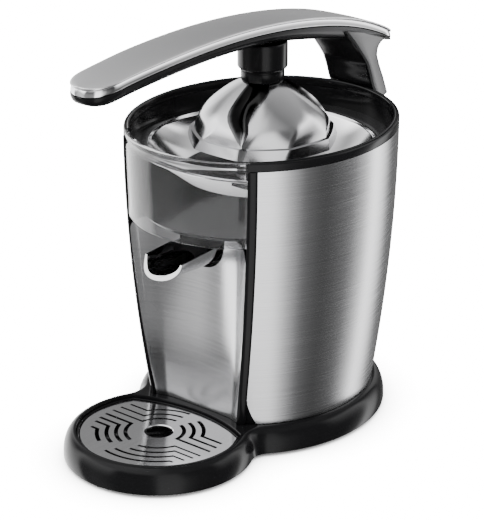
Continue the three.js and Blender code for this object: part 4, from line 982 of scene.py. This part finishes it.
def sieve_painted_glow_finish(group, colour):
    """Polished inside, with a painted highlight on the downward faces that show through the window: white,
    not metallic, and glowing.
    """
    material = moulded("Sieve steel painted glow", group, colour, 0.13, 1.0, 0.06)
    tree, shader = shader_of(material)
    # painted highlight: faces turned downwards become white and emit light
    below = math_node(tree, "LESS_THAN", surface_normal(tree)["Z"], -0.3)
    tree.links.new(math_node(tree, "SUBTRACT", 1.0, below), shader.inputs["Metallic"])
    tree.links.new(mix_colour(tree, below, colour, (0.95, 0.95, 0.95)), shader.inputs["Base Color"])
    shader.inputs["Emission Color"].default_value = (1, 1, 1, 1)
    tree.links.new(math_node(tree, "MULTIPLY", below, 0.6), shader.inputs["Emission Strength"])
    return material


FINISHES = {}


def make_finishes(settings):
    brushing, handling = brushing_group(), handling_group()
    steel = tuple(settings.steel_colour)
    black = tuple(settings.black_colour)
    grey = tuple(settings.leg_colour)
    zinc, ferrite, bronze = (0.5, 0.5, 0.52), (0.05, 0.05, 0.055), (0.42, 0.26, 0.11)
    dark, tan = (0.02, 0.02, 0.021), (0.75, 0.72, 0.64)
    FINISHES.update({
        "brushed_steel": brushed("Brushed steel", brushing, steel, 0.25, (11, 11, 1500), 1.7, 0.8, 0.05, "Z"),
        "panel_steel_painted_shade": panel_painted_shade_finish("Panel steel", brushing, steel, 0.22, (16, 16, 1500), 1.1, 0.8, 0.03,
                                    "Z"),
        "grid_steel": brushed("Grid steel", brushing, (0.66, 0.66, 0.67), 0.12, (1400, 12, 12), 0.8,
                              bump=0.06),
        "satin_cover": brushed("Satin cover", brushing, (0.74, 0.74, 0.75), 0.34, (1200, 1200, 1200), 0.5,
                               bump=0.05),
        "plated_steel": brushed("Zinc plated steel", brushing, zinc, 0.35, (300, 300, 300), 0.8),
        "polished_steel": moulded("Polished steel", handling, (0.72, 0.72, 0.73), 0.08, 1.0, 0.05),
        "sieve_steel_painted_glow": sieve_painted_glow_finish(handling, (0.7, 0.7, 0.71)),
        "reamer_steel_painted_shade": reamer_painted_shade_finish(handling, (0.5, 0.5, 0.51)),
        "chrome": moulded("Bright chrome", handling, (0.8, 0.8, 0.81), 0.05, 1.0, 0.03),
        "gloss_black": moulded("Gloss black plastic", handling, black, 0.14, smear=0.05,
                               Specular_IOR_Level=0.13),
        "belly_black_painted_reflection": belly_painted_reflection_finish(handling, black, grey),
        "matt_black": moulded("Matt black plastic", handling, dark, 0.55, 0.0, 0.1, 700.0, bump=0.2),
        "leg_grey": moulded("Leg satin grey", handling, grey, 0.34, smear=0.05, bump=0.06),
        "rubber": moulded("Black rubber", handling, (0.02, 0.02, 0.02), 0.75, 0.0, 0.1, 500.0, 0.15, 0.3),
        "ferrite": moulded("Ferrite", handling, ferrite, 0.6, 0.0, 0.1, 800.0, 0.2, 0.2),
        "bronze": moulded("Sintered bronze", handling, bronze, 0.42, 1.0, 0.1, 1200.0, 0.1, 0.2),
        "gear_plastic": moulded("Gear plastic", handling, tan, 0.45, 0.0, 0.08, 700.0, bump=0.1),
    })
    smoke, tree, shader = new_material("Smoke clear plastic", tuple(settings.smoke_colour), 0.0, 0.02,
                                       IOR=1.3, Transmission_Weight=1.0)
    node = place_group(tree, handling, {"Colour": (*settings.smoke_colour, 1), "Roughness": 0.04,
                                        "Smear": 0.04})
    tree.links.new(node.outputs["Colour"], shader.inputs["Base Color"])
    tree.links.new(node.outputs["Roughness"], shader.inputs["Roughness"])
    FINISHES["smoke"] = smoke
    FINISHES["tub_smoke"] = moulded("Dark smoke tub", handling, dark, 0.15, smear=0.05)


def finish_piece(piece, finish, body, nodes):
    piece.data.materials.clear()
    piece.data.materials.append(FINISHES[finish])
    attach(piece, body)
    if nodes:
        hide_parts(*nodes)


# ------------------------------------------------------------------ settings and operators

class JuicerSettings(bpy.types.PropertyGroup):
    steel_colour: FloatVectorProperty(
        name="Steel", description="Colour of the brushed steel", subtype="COLOR", size=3,
        default=(0.56, 0.56, 0.57), min=0, max=1)
    black_colour: FloatVectorProperty(
        name="Black plastic", description="Colour of the gloss black mouldings", subtype="COLOR", size=3,
        default=(0.006, 0.006, 0.0065), min=0, max=1)
    leg_colour: FloatVectorProperty(
        name="Leg", description="Colour of the lever's leg", subtype="COLOR", size=3,
        default=(0.07, 0.07, 0.072), min=0, max=1)
    smoke_colour: FloatVectorProperty(
        name="Smoke plastic", description="Tint of the clear collector", subtype="COLOR", size=3,
        default=(0.85, 0.85, 0.86), min=0, max=1)


class JuicerPiece:
    bl_options = {"REGISTER"}

    def execute(self, context):
        self.build()
        return {"FINISHED"}


class JUICER_OT_finishes(JuicerPiece, bpy.types.Operator):
    """Makes the materials"""
    bl_idname = "juicer.finishes"
    bl_label = "Finishes"

    def build(self):
        make_finishes(bpy.context.scene.juicer)


class JUICER_OT_body(JuicerPiece, bpy.types.Operator):
    """Steel wrap, hollow panel, edge strips and rim"""
    bl_idname = "juicer.body"
    bl_label = "Body"

    def build(self):
        finish_piece(make_body_shell(), "brushed_steel", "base", ["body_shell"])
        finish_piece(make_panel(), "panel_steel_painted_shade", "base", ["front_panel"])
        finish_piece(make_rim(), "gloss_black", "base", ["top_ring"])
        finish_piece(make_bowl_wall(), "gloss_black", "base", [])
        for side, node in ((-1, "edge_trim_left"), (1, "edge_trim_right")):
            finish_piece(make_trim(side), "gloss_black", "base", [node])


class JUICER_OT_bowl(JuicerPiece, bpy.types.Operator):
    """Collector, sieve and reamer"""
    bl_idname = "juicer.bowl"
    bl_label = "Bowl"

    def build(self):
        finish_piece(make_window(), "smoke", "base", ["collector"])
        finish_piece(make_collector_tub(), "tub_smoke", "base", [])
        finish_piece(make_sieve(), "sieve_steel_painted_glow", "base", ["sieve"])
        finish_piece(make_reamer(), "reamer_steel_painted_shade", "spindle", ["reamer"])


class JUICER_OT_spout(JuicerPiece, bpy.types.Operator):
    """Chrome pouring spout"""
    bl_idname = "juicer.spout"
    bl_label = "Spout"

    def build(self):
        finish_piece(make_spout(), "chrome", "spout", ["spout"])


class JUICER_OT_base(JuicerPiece, bpy.types.Operator):
    """Plinth, drip pan and grid"""
    bl_idname = "juicer.plinth"
    bl_label = "Plinth and tray"

    def build(self):
        finish_piece(make_plinth(), "gloss_black", "base", ["base_plinth"])
        finish_piece(make_dish(), "gloss_black", "dish", ["drip_dish"])
        finish_piece(make_grid(), "grid_steel", "grid", ["drip_grid"])


class JUICER_OT_springs(JuicerPiece, bpy.types.Operator):
    """Coil springs of the plunger and the drive shaft"""
    bl_idname = "juicer.springs"
    bl_label = "Springs"

    def build(self):
        coil, _, high = make_spring("press_spring", "plunger_coil", 3, 0.45)
        finish_piece(coil, "plated_steel", "lever", ["press_spring"])
        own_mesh(coil)
        coil, low, _ = make_spring("return_spring", "return_coil", 4, 0.6)
        finish_piece(coil, "plated_steel", "output", ["return_spring"])
        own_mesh(coil)


class JUICER_OT_lever(JuicerPiece, bpy.types.Operator):
    """Lever arm, leg and plunger"""
    bl_idname = "juicer.lever"
    bl_label = "Lever"

    def build(self):
        finish_piece(make_cover(), "satin_cover", "lever", ["arm_cover"])
        finish_piece(make_band(), "chrome", "lever", ["arm_band"])
        finish_piece(make_underside(), "belly_black_painted_reflection", "lever", ["arm_underside"])
        finish_piece(make_leg_front(), "gloss_black", "lever", ["leg_front"])
        finish_piece(make_leg_shell(), "leg_grey", "lever", ["leg_shell"])
        finish_piece(make_sleeve(), "gloss_black", "lever", ["plunger_sleeve"])
        finish_piece(make_press_foot(), "gloss_black", "press", ["press_foot"])


# the frame's slots whose finish has another name than the slot
SLOT_FINISHES = {"satin_aluminium": "satin_cover", "grey_plastic": "leg_grey", "smoke_plastic": "tub_smoke"}


class JUICER_OT_frame_finishes(JuicerPiece, bpy.types.Operator):
    """Gives the frame's own parts their finishes"""
    bl_idname = "juicer.frame_finishes"
    bl_label = "Frame finishes"

    def build(self):
        for entry in frame["record"]["subparts"]:
            node = frame["nodes"][entry["node"]]
            slot = entry["material_slot"]
            finish = FINISHES[SLOT_FINISHES.get(slot, slot)]
            node.data.materials.clear()
            node.data.materials.append(finish)


class JUICER_OT_studio(JuicerPiece, bpy.types.Operator):
    """Floor, lights and camera"""
    bl_idname = "juicer.studio"
    bl_label = "Studio"

    def build(self):
        make_studio()


def area_light(name, power, size, place, aim):
    light = bpy.data.lights.new(name, "AREA")
    light.shape = "RECTANGLE"
    light.size, light.size_y = size
    light.energy = power
    lamp = bpy.data.objects.new(name, light)
    lamp.location = place
    lamp.rotation_euler = (Vector(aim) - Vector(place)).to_track_quat("-Z", "Y").to_euler()
    lamp.visible_glossy = False
    bpy.context.scene.collection.objects.link(lamp)


def around(azimuth, distance, height):
    """A place by its direction round the object, from the front towards +X."""
    turn = math.radians(azimuth)
    return (distance * math.sin(turn), -distance * math.cos(turn), height)


# brightness of the studio's strips of light by direction: near the floor, higher up and overhead
LOW_STRIPS = [
    (-180, 0.2), (-140, 0.2), (-128, 2.5), (-110, 4.0), (-68, 4.0), (-60, 0.5), (-50, 0.6), (-38, 1.0),
    (-24, 0.8), (-12, 0.35), (8, 0.3), (30, 0.35), (36, 0.6), (42, 3.0), (64, 2.9), (76, 1.0), (88, 0.25),
    (106, 0.1), (132, 0.2), (146, 1.0), (156, 4.4), (166, 2.4), (176, 0.4), (180, 0.2)]
HIGH_STRIPS = [
    (-180, 1.9), (-120, 2.2), (-100, 0.2), (-85, 0.1), (-70, 4.6), (-20, 4.8), (-10, 0.1), (30, 0.08),
    (45, 2.4), (62, 2.2), (72, 0.05), (110, 0.05), (122, 3.8), (152, 4.2), (162, 0.3), (180, 0.3)]
TOP_STRIPS = [
    (-180, 0.9), (-120, 0.7), (-85, 1.4), (-50, 2.8), (10, 2.4), (35, 2.0), (60, 0.8), (100, 0.35),
    (150, 0.6), (180, 0.9)]
STRIP_SCALE = 5.0  # the brightest a strip can be, since a colour ramp stops at 1

WHITE_OUT = 16.0  # strength at which the backdrop turns pure white
FILL = 0.9  # brightness of the room to light that isn't mirrored
CARD_WAY = (-0.595, 0.71, 0.376)  # direction of a dark card, which the grid mirrors

CAMERA_DISTANCE, CAMERA_HEIGHT = 1.3033, 0.6273
CAMERA_AZIMUTH, CAMERA_YAW, CAMERA_PITCH = math.radians(39.41), math.radians(39.96), math.radians(22.11)
CAMERA_LENS = 154.9


def make_floor(scene):
    """A white floor that shows only a faint shadow where the object touches it."""
    reach = 6.0
    corners = [(-reach, -reach, 0), (reach, -reach, 0), (reach, reach, 0), (-reach, reach, 0)]
    mesh = bpy.data.meshes.new("studio_floor")
    mesh.from_pydata(corners, [], [(0, 1, 2, 3)])
    floor = bpy.data.objects.new("studio_floor", mesh)
    scene.collection.objects.link(floor)
    material, tree, shader = new_material("Studio floor", (0.9, 0.9, 0.9), 0.0, 0.9)
    mottle = noise_texture(tree, object_place(tree), 3.0, 3.0).outputs[0]
    tree.links.new(mix_colour(tree, mottle, (0.9, 0.9, 0.9), (0.92, 0.92, 0.92)), shader.inputs["Base Color"])
    near = tree.nodes.new("ShaderNodeAmbientOcclusion")
    near.samples = 8
    near.inputs["Distance"].default_value = 0.03
    openness = math_node(tree, "POWER", near.outputs["AO"], 2.2)
    path = tree.nodes.new("ShaderNodeLightPath")
    white = math_node(tree, "MULTIPLY", openness, WHITE_OUT)
    glow = math_node(tree, "MULTIPLY", path.outputs["Is Camera Ray"], white)
    tree.links.new(glow, shader.inputs["Emission Strength"])
    shader.inputs["Emission Color"].default_value = (1, 1, 1, 1)
    floor.data.materials.append(material)
    floor.visible_glossy = False


def make_room(scene):
    """A world that is white to the camera and striped with light where metal mirrors it."""
    world = bpy.data.worlds.new("Studio")
    scene.world = world
    world.use_nodes = True
    tree = world.node_tree
    nodes = tree.nodes
    background = nodes["Background"]
    way = nodes.new("ShaderNodeTexCoord").outputs["Generated"]
    along = axes_of(tree, way)
    turn = math_node(tree, "ARCTAN2", along["X"], math_node(tree, "MULTIPLY", along["Y"], -1.0))
    share = math_node(tree, "MULTIPLY_ADD", turn, 0.5 / math.pi, 0.5)

    def strips(levels):
        """Brightness by direction in degrees round the object, from the front towards +X."""
        ramp = nodes.new("ShaderNodeValToRGB")
        tree.links.new(share, ramp.inputs["Fac"])
        while len(ramp.color_ramp.elements) < len(levels):
            ramp.color_ramp.elements.new(0.5)
        for element, (degrees, level) in zip(ramp.color_ramp.elements, levels):
            element.position = degrees / 360 + 0.5
            element.color = (*[level / STRIP_SCALE] * 3, 1)
        return ramp.outputs[0]

    rising = map_range(tree, along["Z"], -0.15, 0.62, eased_ends=True)
    mixed = mix_colour(tree, rising, strips(LOW_STRIPS), strips(HIGH_STRIPS))
    card = nodes.new("ShaderNodeVectorMath")
    card.operation = "DOT_PRODUCT"
    tree.links.new(way, card.inputs[0])
    card.inputs[1].default_value = CARD_WAY
    shut = map_range(tree, card.outputs["Value"], 0.95, 0.985, 1.0, 0.16, eased_ends=True)
    carded = math_node(tree, "MULTIPLY", mixed, shut)
    overhead = map_range(tree, along["Z"], 0.42, 0.68, eased_ends=True)
    topped = mix_colour(tree, overhead, carded, strips(TOP_STRIPS))
    shaded = math_node(tree, "MULTIPLY", topped, map_range(tree, along["Z"], -0.9, -0.6))
    path = nodes.new("ShaderNodeLightPath")
    bright = math_node(tree, "SUBTRACT", math_node(tree, "MULTIPLY", shaded, STRIP_SCALE), FILL)
    glossy = math_node(tree, "MULTIPLY", path.outputs["Is Glossy Ray"], bright)
    lit = math_node(tree, "ADD", glossy, FILL)
    seen = math_node(tree, "MULTIPLY_ADD", path.outputs["Is Camera Ray"], WHITE_OUT, lit)
    tree.links.new(seen, background.inputs["Strength"])
    background.inputs["Color"].default_value = (1, 1, 1, 1)


def make_camera(scene):
    data = bpy.data.cameras.new("studio_camera")
    data.lens = CAMERA_LENS
    data.clip_end = 50
    camera = bpy.data.objects.new("studio_camera", data)
    camera.location = (CAMERA_DISTANCE * math.sin(CAMERA_AZIMUTH),
                       SHAFT_Y * MM - CAMERA_DISTANCE * math.cos(CAMERA_AZIMUTH), CAMERA_HEIGHT)
    level = math.cos(CAMERA_PITCH)
    forward = Vector((-math.sin(CAMERA_YAW) * level, math.cos(CAMERA_YAW) * level, -math.sin(CAMERA_PITCH)))
    camera.rotation_euler = forward.to_track_quat("-Z", "Y").to_euler()
    scene.collection.objects.link(camera)
    scene.camera = camera


def make_studio():
    scene = bpy.context.scene
    make_floor(scene)
    make_room(scene)
    middle = (0, 0, 0.12)
    area_light("key_softbox", 18, (0.9, 0.9), around(-20, 0.9, 1.3), middle)
    area_light("right_softbox", 8, (0.5, 1.0), around(120, 1.0, 0.7), middle)
    area_light("top_softbox", 10, (1.2, 1.2), (0, 0.2, 1.6), middle)
    make_camera(scene)


class JUICER_PT_panel(bpy.types.Panel):
    bl_label = "Juicer"
    bl_idname = "JUICER_PT_panel"
    bl_space_type = "VIEW_3D"
    bl_region_type = "UI"
    bl_category = "Juicer"

    def draw(self, context):
        settings = context.scene.juicer
        for name in settings.__annotations__:
            self.layout.prop(settings, name)
        for operator in OPERATORS:
            self.layout.operator(operator.bl_idname)


OPERATORS = [JUICER_OT_finishes, JUICER_OT_frame_finishes, JUICER_OT_body, JUICER_OT_bowl, JUICER_OT_spout,
             JUICER_OT_base, JUICER_OT_springs, JUICER_OT_lever, JUICER_OT_studio]
CLASSES = [JuicerSettings, *OPERATORS, JUICER_PT_panel]


def register():
    for cls in CLASSES:
        bpy.utils.register_class(cls)
    bpy.types.Scene.juicer = PointerProperty(type=JuicerSettings)


def unregister():
    del bpy.types.Scene.juicer
    for cls in reversed(CLASSES):
        bpy.utils.unregister_class(cls)


def main():
    register()
    for operator in OPERATORS:
        group, name = operator.bl_idname.split(".")
        getattr(getattr(bpy.ops, group), name)()


if __name__ == "__main__":
    main()
